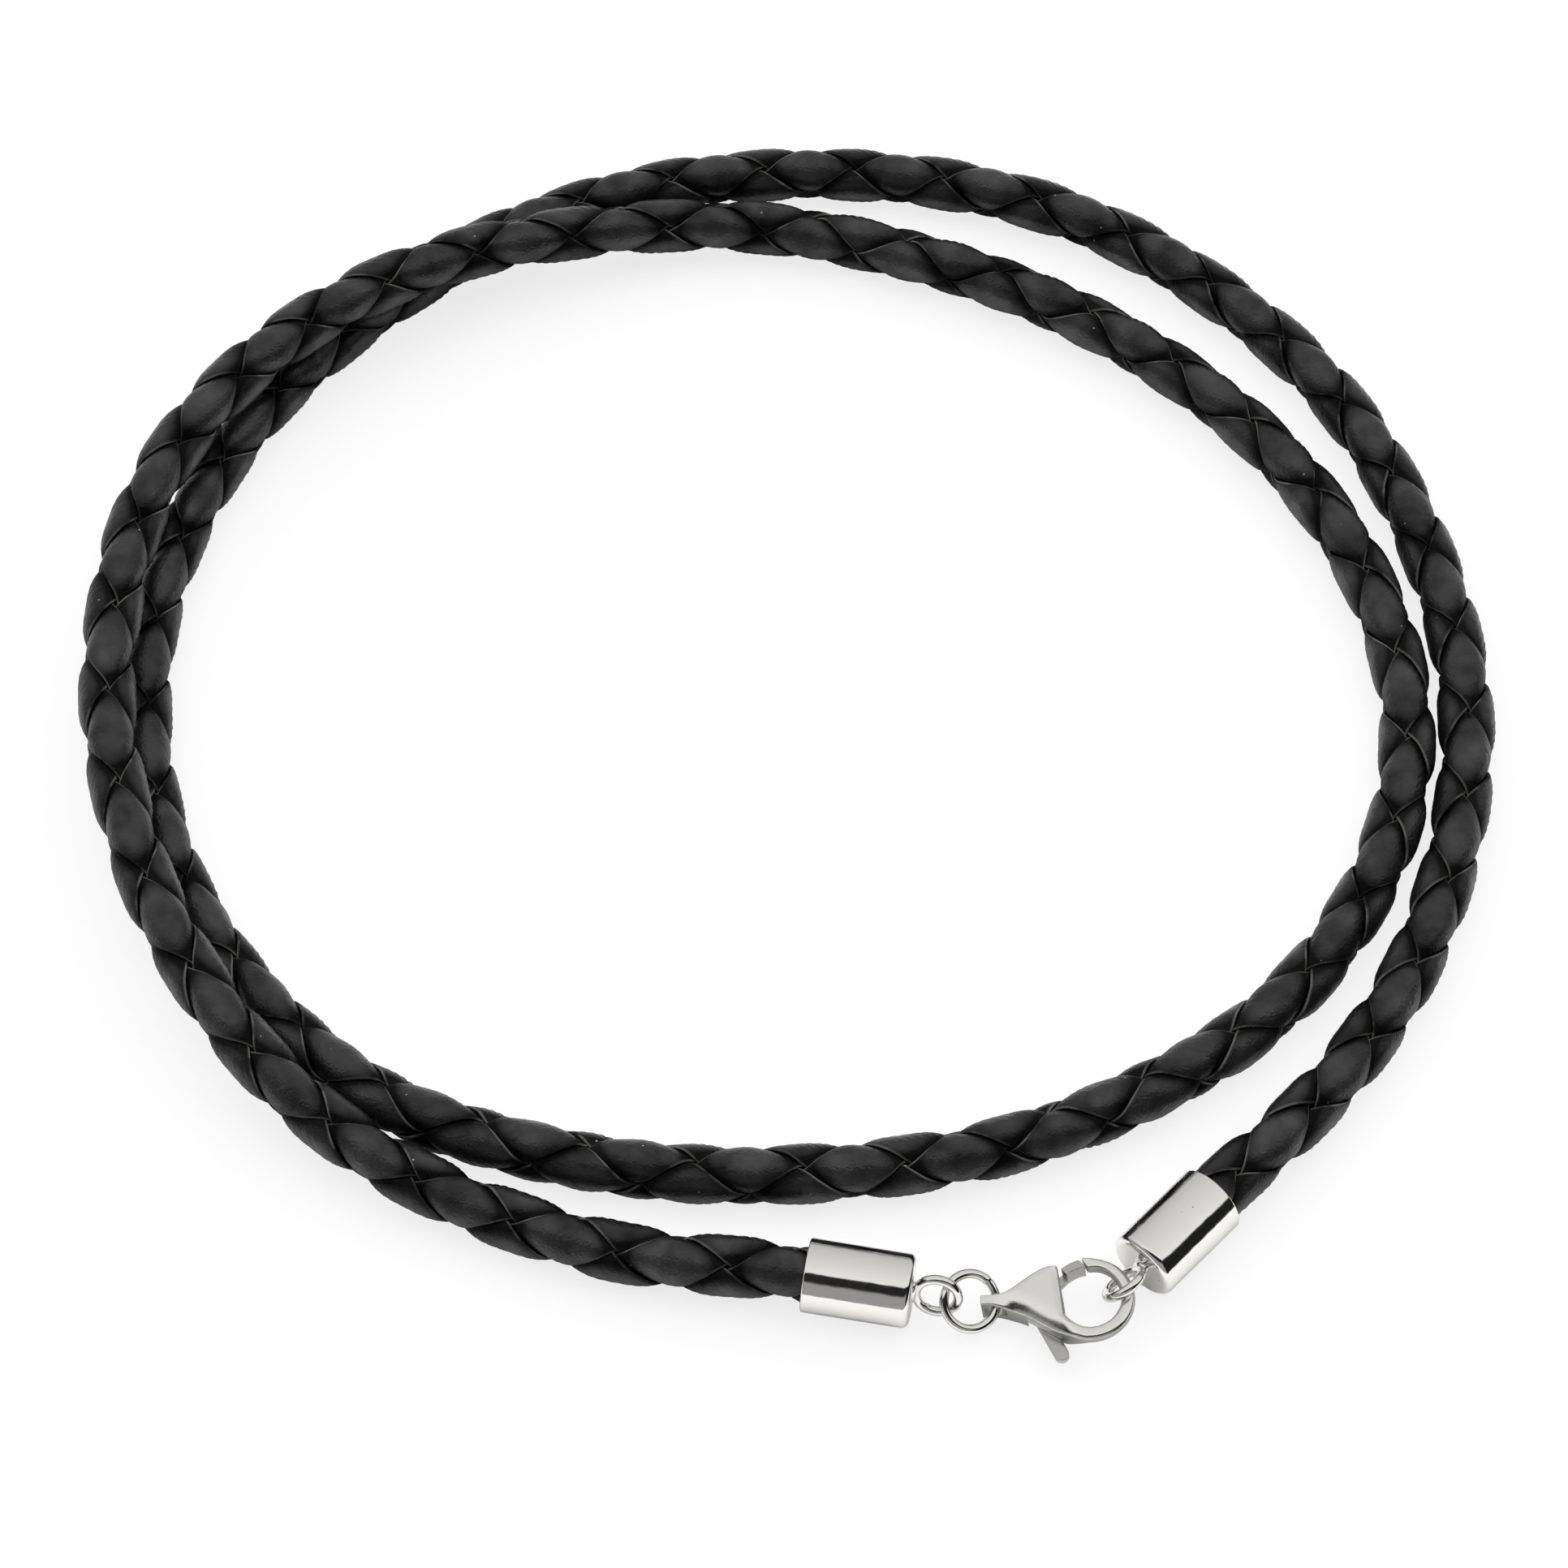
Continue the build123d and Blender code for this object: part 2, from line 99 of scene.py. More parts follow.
# Course of the cord from the right cap round to the left cap, its points given one by one.
# Columns: x and y in millimetres, lift as a share of the cord's diameter, roll in degrees, and how
# far the laces run ahead of their pitch in degrees.
COURSE = [
    (37.2, -33.6, 0.00, 105, -20),
    (44.2, -23.6, 0.00, 100, 0),
    (49.0, -10.0, 0.00, 95, 10),
    (50.0, 4.5, 0.00, 85, 15),
    (46.5, 19.5, 0.00, 75, 20),
    (39.8, 32.3, 0.00, 70, 20),
    (27.5, 43.9, 0.00, 75, 5),
    (15.0, 49.4, 0.00, 70, -15),
    (2.0, 51.0, 0.00, 70, 0),
    (-11.0, 49.5, 0.00, 70, 0),
    (-23.9, 43.9, 0.00, 75, 0),
    (-33.7, 35.7, 0.00, 70, 0),
    (-41.9, 25.4, 0.00, 70, -5),
    (-47.0, 12.0, 0.00, 70, -15),
    (-47.7, -0.5, 0.00, 70, -20),
    (-45.5, -12.0, 0.00, 75, -30),
    (-39.9, -22.8, 0.00, 75, -40),
    (-30.8, -32.3, 0.00, 70, -45),
    (-20.9, -36.9, 0.00, 65, -50),
    (-9.5, -39.4, 0.00, 75, -50),
    (1.5, -39.6, 0.00, 100, -45),
    (13.0, -38.0, 0.00, 125, -30),
    (24.1, -33.6, 0.00, 155, -15),
    (35.8, -25.3, 0.00, 185, -10),
    (43.7, -12.1, 0.00, 180, 5),
    (45.6, 1.5, 0.00, 170, 10),
    (41.7, 15.9, 0.00, 175, 0),
    (33.1, 28.1, 0.00, 175, -25),
    (21.0, 37.5, 0.00, 180, -40),
    (8.0, 43.0, 0.00, 195, -60),
    (-4.5, 45.5, 0.06, 220, -65),
    (-17.5, 42.9, 0.50, 220, -85),
    (-27.0, 38.9, 0.89, 225, -95),
    (-36.3, 32.9, 1.03, 235, -95),
    (-44.5, 23.8, 1.00, 245, -80),
    (-49.1, 13.0, 0.90, 250, -90),
    (-50.0, 0.5, 0.87, 260, -90),
    (-48.7, -8.5, 0.87, 265, -100),
    (-45.3, -19.2, 0.89, 275, -125),
    (-39.0, -29.5, 0.65, 280, -135),
    (-31.8, -36.5, 0.32, 285, -135),
    (-23.1, -41.5, 0.00, 295, -125),
    (-12.0, -45.7, 0.00, 300, -125),
]

# Laces of the braid: node name, hand (1 turns with the cord, -1 against it) and side in degrees
LACES = (
    ("lace_1", 1, 0),
    ("lace_2", 1, 180),
    ("lace_3", -1, 0),
    ("lace_4", -1, 180),
)


def linear(code):
    """Linear colour of an sRGB hex code."""
    values = [int(code[k:k + 2], 16) / 255 for k in (1, 3, 5)]
    return tuple(v / 12.92 if v <= 0.04045 else ((v + 0.055) / 1.055) ** 2.4 for v in values)


def size(name, description, millimetres):
    """A length property, given in millimetres."""
    return bpy.props.FloatProperty(
        name=name, description=description, default=millimetres * MM, unit="LENGTH", precision=5
    )


def angle(name, description, degrees):
    """An angle property, given in degrees."""
    return bpy.props.FloatProperty(
        name=name, description=description, default=math.radians(degrees), subtype="ANGLE",
        unit="ROTATION",
    )


def share(name, description, value):
    """A plain number property."""
    return bpy.props.FloatProperty(name=name, description=description, default=value)


def shade(name, description, code):
    """A colour property, given as an sRGB hex code."""
    return bpy.props.FloatVectorProperty(
        name=name, description=description, default=linear(code), subtype="COLOR", size=3,
        min=0.0, max=1.0,
    )


class NECKLACE_PG_cord(bpy.types.PropertyGroup):
    """Sizes and colours of the braided cord"""
    diameter: size("Cord diameter", "Across the crowns of the braid", 4.24)
    pitch: size("Braid pitch", "Cord length in which a lace goes once round", 15.2)
    thickness: size("Lace thickness", "In the middle of a lace", 1.05)
    edge_thickness: size("Lace edge", "Thickness at the cut edge", 0.46)
    edge_rounding: size("Edge rounding", "Radius of the cut edge's corners", 0.12)
    reach: angle("Lace reach", "Half the angle that a lace takes up round the cord", 84)
    wave: size("Wave", "Rise and dip of a lace between its crossings", 0.43)
    flatness: share("Wave flatness", "How long a lace stays on top of a crossing", 1.7)
    wander: share("Wander", "Unevenness of the hand of the braid, as a share", 0.05)
    spacing: size("Station spacing", "Length of one row of faces", 0.27)
    face_colour: shade("Leather", "Dyed grain face of the laces", "#181717")
    # Pale cut edge: partly the raw fibres' own colour, partly a painted highlight where the edges
    # catch the light
    cut_edge_highlight_colour: shade("Cut edge", "Cut edge of the laces", "#5E5D5A")
    dust_colour: shade("Dust", "Specks of dust on the leather", "#8C8782")


class NECKLACE_PG_caps(bpy.types.PropertyGroup):
    """Sizes of the end caps"""
    diameter: size("Cap diameter", "Outside diameter", 5.1)
    length: size("Cap length", "From rim to closed end", 7.4)
    wall: size("Wall", "Thickness of the cup's wall", 0.36)
    end_thickness: size("End thickness", "Thickness of the closed end", 0.9)
    end_rounding: size("End rounding", "Radius round the closed end", 0.5)
    rim_rounding: size("Rim rounding", "Radius at the rim", 0.12)
    ring_diameter: size("Ring diameter", "Soldered ring, middle of its wire", 2.9)
    ring_wire: size("Ring wire", "Wire of the soldered ring", 0.68)
    solder_depth: size("Solder depth", "How deep the ring sits in the closed end", 0.14)
    cord_gap: size("Cord gap", "Room between the cord's end and the cup's floor", 0.1)


class NECKLACE_PG_ring(bpy.types.PropertyGroup):
    """Sizes of the jump ring"""
    diameter: size("Ring diameter", "Middle of the wire", 3.74)
    wire: size("Wire", "Wire diameter", 0.66)
    lean: angle("Lean", "How far the ring leans from lying flat", 26)
    seam_angle: angle("Seam", "Where round the ring its solder seam lies", 118)
    seam_rise: size("Seam rise", "Height of the solder seam", 0.035)
    seam_width: size("Seam width", "Width of the solder seam", 0.3)


class NECKLACE_PG_clasp(bpy.types.PropertyGroup):
    """Sizes of the trigger clasp"""
    thickness: size("Body thickness", "Height of the body", 2.2)
    tail_width: size("Tail width", "Flat tail that holds the eye", 0.74)
    tail_overhang: size("Tail overhang", "Tail beyond the eye's middle", 1.0)
    eye_diameter: size("Eye diameter", "Hole through the tail", 1.5)
    body_length: size("Body length", "From the eye to the front face", 4.3)
    front_lean: size("Front lean", "How far the front face bows out", 0.3)
    shoulder_width: size("Shoulder width", "Width of the body at its front", 4.65)
    hook_reach: size("Hook reach", "From the eye to the hook's middle", 6.4)
    hook_outer: size("Hook diameter", "Outside of the hook", 6.14)
    hook_opening: size("Hook opening", "Diameter inside the hook", 4.3)
    opening_shift: size("Opening shift", "How far the opening sits off the hook's middle", 0.1)
    mouth_angle: angle("Mouth angle", "Where the opening meets the front face", -142)
    hook_thickness: size("Hook thickness", "Height of the hook", 0.92)
    tip_angle: angle("Tip angle", "Where the hook ends", 99)
    tip_slant: angle("Tip slant", "Slant of the hook's end", 7)
    root_angle: angle("Root angle", "Where the hook leaves the body", -105)
    slope_length: size("Slope length", "From the body's top down to the hook", 1.4)
    slope_start: size("Slope start", "Beginning of the slope on the middle line", 4.45)
    slope_turn: share("Slope turn", "Forward run of the slope's edge towards the near side", 0.1)
    slope_blur: share("Slope blur", "Softness of the slope's two bends", 0.06)
    body_rounding: size("Body rounding", "Polished edge of the body", 0.12)
    hook_rounding: size("Hook rounding", "Polished edge of the hook", 0.37)
    pillow_run: size("Pillow run", "How far in from its far side the top face is domed", 0.5)
    pillow_drop: size("Pillow drop", "How far the dome falls to the far side", 0.1)
    pillow_start: size("Pillow start", "Where the dome begins, behind the eye", 0.4)
    pillow_rise: size("Pillow rise", "Length in which the dome gains its full fall", 1.6)
    near_run: size("Near run", "How far in from its near side the top face is domed", 1.6)
    near_drop: size("Near drop", "How far the dome falls to the near side", 0.56)
    lip_run: size("Lip run", "Width of the sloping lip along the front", 0.6)
    lip_drop: size("Lip drop", "How far the lip falls to the front", 0.34)
    corner_run: size("Corner run", "Length over which the outline's corners are rounded", 0.3)
    detail: size("Detail", "Spacing of the outline's points", 0.07)


class NECKLACE_PG_lever(bpy.types.PropertyGroup):
    """Sizes of the clasp's lever"""
    thickness: size("Lever thickness", "Plate of the lever", 0.5)
    gap: size("Gap", "Room round the lever", 0.05)
    travel: angle("Travel", "How far the lever opens", 22)
    pivot_reach: size("Pivot reach", "From the eye to the rivet", 2.6)
    hub_diameter: size("Hub diameter", "Lever round the rivet", 1.8)
    arm_width: size("Arm width", "Arm that carries the gate", 0.612)
    rivet_diameter: size("Rivet", "Shank of the rivet", 0.7)
    head_diameter: size("Rivet head", "Head of the rivet", 1.2)
    head_thickness: size("Head thickness", "Height of the rivet's head", 0.13)
    gate_width: size("Gate width", "Gate across the hook", 0.62)
    gate_height: size("Gate height", "Gate from below to its top", 1.45)
    gate_gap: size("Gate gap", "Room between gate and hook", 0.14)
    gate_end: angle("Gate end", "Where the gate meets the body", 130)
    gate_lap: angle("Gate lap", "How far the arm runs on past the gate's end", 2)
    gate_corner: size("Gate corner", "Length over which the gate's corners are rounded", 0.12)
    thumb_reach: size("Thumb reach", "From the rivet to the tab's end", 4.55)
    thumb_angle: angle("Thumb angle", "Direction of the thumb tab", -65)
    thumb_width: size("Thumb width", "Width of the thumb tab", 1.0)
    corner_run: size("Corner run", "Length over which the lever's corners are rounded", 0.2)
    rounding: size("Rounding", "Tumbled edge of the lever", 0.07)


class NECKLACE_PG_place(bpy.types.PropertyGroup):
    """How the fastening lies"""
    eye_x: size("Eye X", "Eye of the clasp", 14.1)
    eye_y: size("Eye Y", "Eye of the clasp", -49.4)
    eye_height: size("Eye height", "Eye of the clasp above the ground", 1.4)
    clasp_heading: angle("Clasp heading", "Direction from the eye to the hook", 0)
    hold_angle: angle("Hold angle", "Where round the hook the right cap's ring hangs", 25)
    ring_heading: angle("Ring heading", "Direction of the jump ring", -2)
    ring_seat: size("Ring seat", "Left cap's ring off the jump ring's wire", 0.5)
    left_heading: angle("Left cap heading", "Direction from rim to closed end", -10)
    left_roll: angle("Left cap roll", "Turn of the left cap's ring", -110)
    right_heading: angle("Right cap heading", "Direction from rim to closed end", -134)
    right_roll: angle("Right cap roll", "Turn of the right cap's ring", 54)


class NECKLACE_PG_stage(bpy.types.PropertyGroup):
    """Camera, light and floor, and the finish of the silver"""
    elevation: angle("Camera elevation", "Above the floor", 57)
    distance: size("Camera distance", "From the aim to the camera", 320.36)
    aim_x: size("Aim X", "Middle of the picture", -0.35)
    aim_y: size("Aim Y", "Middle of the picture", -7.4)
    aim_z: size("Aim Z", "Middle of the picture", 2.0)
    lens: share("Lens", "Focal length for a 36 mm wide picture, in millimetres", 100.43)
    floor_width: size("Floor width", "Side of the square floor", 4000.0)
    floor_colour: shade("Floor", "Pale paper floor", "#E4E4E4")
    floor_glow: share("Floor glow", "Light that comes through the paper floor", 0.8)
    silver_colour: shade("Silver", "Polished sterling silver", "#E6E5E2")
    lever_colour: shade("Lever silver", "Tumbled silver of the lever", "#B9B8B5")
    # Steep walls of the clasp: their matt finish is real, their greyer colour is painted shade for
    # the dim floor they reflect
    cast_wall_shade_colour: shade("Cast silver", "Walls that the polishing wheel didn't reach", "#AAAAA8")
    pit_colour: shade("Pits", "Dark of the casting pits", "#3F3F3F")


def unit(vectors):
    """Vectors divided by their length."""
    return vectors / np.linalg.norm(vectors, axis=-1, keepdims=True)


def direction(turn, rise=0.0):
    """Unit vector turned from +X towards +Y, then raised towards +Z."""
    flat = math.cos(rise)
    return np.array([flat * math.cos(turn), flat * math.sin(turn), math.sin(rise)])


def laid(points, origin, x_axis, z_axis):
    """Points of a piece's own frame, carried to its place: origin plus each share of its axes."""
    axes = np.array([x_axis, np.cross(z_axis, x_axis), z_axis])
    return origin + points @ axes


def ring_offset(caps):
    """Height of the middle of a cap's ring over the cap's closed end."""
    return caps.ring_diameter / 2 + caps.ring_wire / 2 - caps.solder_depth


class Fastening:
    """Where each piece of the fastening lies, worked out along the chain from the clasp's eye."""

    def __init__(self, scene):
        place, caps = scene.necklace_place, scene.necklace_caps
        clasp, ring = scene.necklace_clasp, scene.necklace_ring
        cap_radius = caps.diameter / 2
        self.eye = np.array([place.eye_x, place.eye_y, place.eye_height])
        shift = clasp.opening_shift * math.sin(place.hold_angle)
        hold_radius = (clasp.hook_outer / 2 + clasp.hook_opening / 2 + shift) / 2
        hold_x = clasp.hook_reach + hold_radius * math.cos(place.hold_angle)
        hold_y = hold_radius * math.sin(place.hold_angle)
        rise = math.asin((cap_radius - place.eye_height) / hold_x)
        self.clasp_x = direction(place.clasp_heading, rise)
        self.clasp_z = direction(place.clasp_heading, rise + math.pi / 2)
        self.hold = laid(np.array([hold_x, hold_y, 0.0]), self.eye, self.clasp_x, self.clasp_z)
        rise = math.asin((cap_radius - place.eye_height) / ring.diameter)
        self.ring_x = direction(place.ring_heading + math.pi, rise)
        ring_hold = self.eye + self.ring_x * ring.diameter
        self.ring_centre = (self.eye + ring_hold) / 2
        self.ring_z = unit(np.cross(self.ring_x, direction(math.pi / 2, ring.lean)))
        self.left_axis = direction(place.left_heading)
        self.right_axis = direction(place.right_heading)
        self.left_end = ring_hold - self.left_axis * (place.ring_seat + ring_offset(caps))
        self.right_end = self.hold - self.right_axis * ring_offset(caps)


def smooth_curve(rows, steps):
    """Uniform cubic B-spline close to the given rows: each control row is its own row less a sixth
    of the second difference, and each span blends four control rows with cubic weights."""
    bend = rows[1:-1] - (rows[:-2] - 2 * rows[1:-1] + rows[2:]) / 6
    control = np.vstack([rows[:1], bend, rows[-1:]])
    control = np.vstack([2 * control[0] - control[1], control, 2 * control[-1] - control[-2]])
    t = (np.arange(steps) / steps)[:, None]
    weights = ((1 - t) ** 3, 3 * t**3 - 6 * t**2 + 4, -3 * t**3 + 3 * t**2 + 3 * t + 1, t**3)
    spans = sum(w[None] / 6 * control[j:len(rows) - 1 + j, None] for j, w in enumerate(weights))
    return np.vstack([spans.reshape(-1, rows.shape[1]), rows[-1:]])


def along_length(rows, spacing, columns=None):
    """Rows put evenly along the path that their first columns draw, with that path's length."""
    path = rows[:, :columns]
    length = np.concatenate([[0.0], np.cumsum(np.linalg.norm(np.diff(path, axis=0), axis=1))])
    count = max(2, int(round(length[-1] / spacing)))
    at = np.linspace(0.0, length[-1], count + 1)
    return at, np.stack([np.interp(at, length, column) for column in rows.T], axis=1)


def course_rows(scene):
    """The cord's chosen points with its ends in the caps: x, y, z in metres, roll and lead."""
    cord, caps = scene.necklace_cord, scene.necklace_caps
    fastening = Fastening(scene)
    bore = caps.length - caps.end_thickness
    inside = bore - caps.cord_gap
    steps = np.array([inside, inside / 2, 0.0, -bore / 2])[:, None]
    right = fastening.right_end - fastening.right_axis * (caps.length - steps)
    left = fastening.left_end - fastening.left_axis * (caps.length - steps[::-1])
    table = np.array(COURSE, float)
    middle = np.column_stack([
        table[:, 0] * MM,
        table[:, 1] * MM,
        cord.diameter * (0.5 + table[:, 2]),
        np.radians(table[:, 3:]),
    ])
    first = np.column_stack([right, np.tile(middle[0, 3:], (len(right), 1))])
    last = np.column_stack([left, np.tile(middle[-1, 3:], (len(left), 1))])
    return np.vstack([first, middle, last])


def cord_stations(scene):
    """Even stations along the cord: length, turn of the braid, point, up, outward side and
    roll."""
    cord = scene.necklace_cord
    line = smooth_curve(course_rows(scene), COURSE_STEPS)
    line[:, 2] = np.maximum(line[:, 2], cord.diameter / 2)
    at, rows = along_length(line, cord.spacing, 3)
    point = rows[:, :3]
    forward = unit(np.gradient(point, axis=0))
    up = unit(UP - forward * (forward @ UP)[:, None])
    section = cord.pitch / 10    # spacing of the solid laces' sections, so that both braids match
    margin = (at[-1] - int(at[-1] / section) * section) / 2
    turn = 2 * np.pi * (at - margin) / cord.pitch + rows[:, 4]
    return at, turn, point, up, np.cross(forward, up), rows[:, 3]


def wave_height(turn, flatness):
    """Rise and dip of a lace between its crossings: a cosine, flattened by its own cube."""
    c = np.cos(turn)
    return flatness * c - (flatness - 1) * c**3


def wander(at, start, wavelengths=(31.0, 17.0, 8.7)):
    """Slow unevenness along a lace: three sines of unlike wavelengths in millimetres."""
    phases = start + np.arange(1, len(wavelengths) + 1) * 2.1
    waves = [np.sin(2 * np.pi * at / (w * MM) + p) for w, p in zip(wavelengths, phases)]
    return sum(waves) / len(waves)


def lace_outline(cord, radius):
    """Closed section of a lace: angle from its middle as a share of its reach, rise above its
    middle layer, and how much of a cut edge each point is. The face is domed and falls away
    steeply to its edges, whose corners are rounded."""
    half = cord.edge_thickness / 2
    dome = (cord.thickness - cord.edge_thickness) / 2
    corner = cord.edge_rounding / (radius * cord.reach)
    face = np.sin(np.linspace(-np.pi / 2, np.pi / 2, 13)) * (1 - corner)
    back = np.linspace(1 - corner, corner - 1, 5)
    round_share = np.array([1 - 0.3 * corner, 1.0])
    round_drop = np.array([0.3, 1.0]) * cord.edge_rounding
    shares = np.concatenate([face, round_share, round_share[::-1], back,
                             -round_share, -round_share[::-1]])
    rises = np.concatenate([
        half + dome * (1 - np.abs(face) ** 3),
        half - round_drop,
        round_drop[::-1] - half,
        -half - dome * (1 - back**2) * BACK_DOME,
        round_drop - half,
        half - round_drop[::-1],
    ])
    cut = np.zeros(len(shares))
    # The cut edge, and a little of the face beside it, turn paler and rougher: the paleness is
    # partly the raw fibres, partly a painted highlight
    cut[[0, len(face) - 1]] = 0.25       # the face pales a little where it meets the cut
    cut[[len(face), -1]] = 1.0
    return shares, rises, cut


def tube_faces(rows, columns):
    """Quads of a surface that is closed round its columns and open at its first and last rows."""
    index = np.arange(rows * columns).reshape(rows, columns)
    near, far = index[:-1], index[1:]
    quads = (near, np.roll(near, -1, axis=1), np.roll(far, -1, axis=1), far)
    return np.stack([q.ravel() for q in quads], axis=1)


def closed_tube(points, start, end):
    """Points and faces of a grid of points that is closed round its columns, its first and last
    rows drawn together by triangles round a middle point each."""
    rows, columns = points.shape[:2]
    count = rows * columns
    first = np.arange(columns)
    last = first + count - columns
    near = np.stack([np.full(columns, count), np.roll(first, -1), first], axis=1)
    far = np.stack([np.full(columns, count + 1), last, np.roll(last, -1)], axis=1)
    total = np.vstack([points.reshape(-1, 3), start, end])
    return total, tube_faces(rows, columns), np.vstack([near, far])


def outward(points, *face_groups):
    """The face groups, turned over if the closed surface would hold a negative volume."""
    volume = 0.0
    for faces in face_groups:
        for k in range(1, faces.shape[1] - 1):
            a, b, c = (points[faces[:, j]] for j in (0, k, k + 1))
            volume += np.einsum("ij,ij->i", a, np.cross(b, c)).sum()
    return [faces[:, ::-1] if volume < 0 else faces for faces in face_groups]


def mesh_of(name, points, *face_groups):
    """A smooth-shaded mesh from whole arrays of points and of faces, one array for each count."""
    groups = outward(points, *face_groups)
    corners = np.concatenate([faces.ravel() for faces in groups])
    counts = np.concatenate([np.full(len(faces), faces.shape[1]) for faces in groups])
    mesh = bpy.data.meshes.new(name)
    mesh.vertices.add(len(points))
    mesh.vertices.foreach_set("co", points.astype(np.float32).ravel())
    mesh.loops.add(len(corners))
    mesh.loops.foreach_set("vertex_index", corners.astype(np.int32))
    mesh.polygons.add(len(counts))
    mesh.polygons.foreach_set("loop_start", (np.cumsum(counts) - counts).astype(np.int32))
    mesh.polygons.foreach_set("use_smooth", np.ones(len(counts), bool))
    mesh.update(calc_edges=True)
    if mesh.validate():
        raise RuntimeError("the mesh of " + name + " had faults")
    return mesh


def mark(mesh, name, values, kind="FLOAT", field="value"):
    """Give each point of the mesh a value, or a vector, that its material reads."""
    data = mesh.attributes.new(name, kind, "POINT").data
    data.foreach_set(field, values.astype(np.float32).ravel())


def place_piece(node, mesh, material, slot, body=NECKLACE):
    """Put a mesh in the scene as the piece that stands for a node and rides on a body."""
    mesh.name = slot + "_" + node
    mesh.materials.clear()
    mesh.materials.append(material)
    piece = bpy.data.objects.new(mesh.name, mesh)
    bpy.context.scene.collection.objects.link(piece)
    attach(piece, body)
    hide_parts(node)


def combined(mesh, tool, operation):
    """The mesh after an exact union with, or difference from, a closed tool mesh."""
    items = [bpy.data.objects.new("worked", mesh), bpy.data.objects.new("cutter", tool)]
    for item in items:
        bpy.context.scene.collection.objects.link(item)
    step = items[0].modifiers.new("step", "BOOLEAN")
    step.operation = operation
    step.solver = "EXACT"
    step.object = items[1]
    bpy.context.view_layer.update()
    made = bpy.data.meshes.new_from_object(
        items[0].evaluated_get(bpy.context.evaluated_depsgraph_get())
    )
    for item in items:
        bpy.data.objects.remove(item)
    if not made.polygons:
        raise RuntimeError("an exact cut left nothing")
    return made


def without_slivers(mesh, least=0.0005 * MM):
    """The mesh less its faces of no area: points that touch are joined, and a face of more than
    four corners is cut into triangles."""
    shape = bmesh.new()
    shape.from_mesh(mesh)
    bmesh.ops.remove_doubles(shape, verts=shape.verts, dist=least)
    bmesh.ops.dissolve_degenerate(shape, edges=shape.edges, dist=least)
    bmesh.ops.triangulate(shape, faces=[face for face in shape.faces if len(face.verts) > 4])
    bmesh.ops.dissolve_degenerate(shape, edges=shape.edges, dist=least)
    shape.to_mesh(mesh)
    shape.free()
    return mesh


def placed(mesh, origin, x_axis, z_axis):
    """A mesh laid in its place, smooth but for the edges where its faces meet sharply."""
    points = np.empty(len(mesh.vertices) * 3, np.float32)
    mesh.vertices.foreach_get("co", points)
    points = laid(points.reshape(-1, 3).astype(float), origin, x_axis, z_axis)
    mesh.vertices.foreach_set("co", points.astype(np.float32).ravel())
    mesh.update()
    mesh.polygons.foreach_set("use_smooth", np.ones(len(mesh.polygons), bool))
    mesh.set_sharp_from_angle(angle=SHARP_ANGLE)
    return mesh


def add_node(tree, kind, inputs=(), stops=(), **settings):
    """Add a shader node with its settings, and set or link its inputs, by name or in their order.
    A colour ramp gets its two stops of position and grey. The kind names the output to return
    after a dot, and without one the node itself is returned."""
    kind, _, output = kind.partition(".")
    made = tree.nodes.new("ShaderNode" + kind)
    for key, value in settings.items():
        setattr(made, key, value)
    for key, value in inputs.items() if isinstance(inputs, dict) else enumerate(inputs):
        if isinstance(value, bpy.types.NodeSocket):
            tree.links.new(value, made.inputs[key])
        else:
            made.inputs[key].default_value = value
    for element, (position, grey) in zip(made.color_ramp.elements if stops else (), stops):
        element.position = position
        element.color = (grey, grey, grey, 1.0)
    return made.outputs[output] if output else made


def new_material(name):
    """An empty node material, with the function that adds a node to it."""
    material = bpy.data.materials.new(name)
    material.use_nodes = True
    material.node_tree.nodes.clear()
    return material, functools.partial(add_node, material.node_tree)


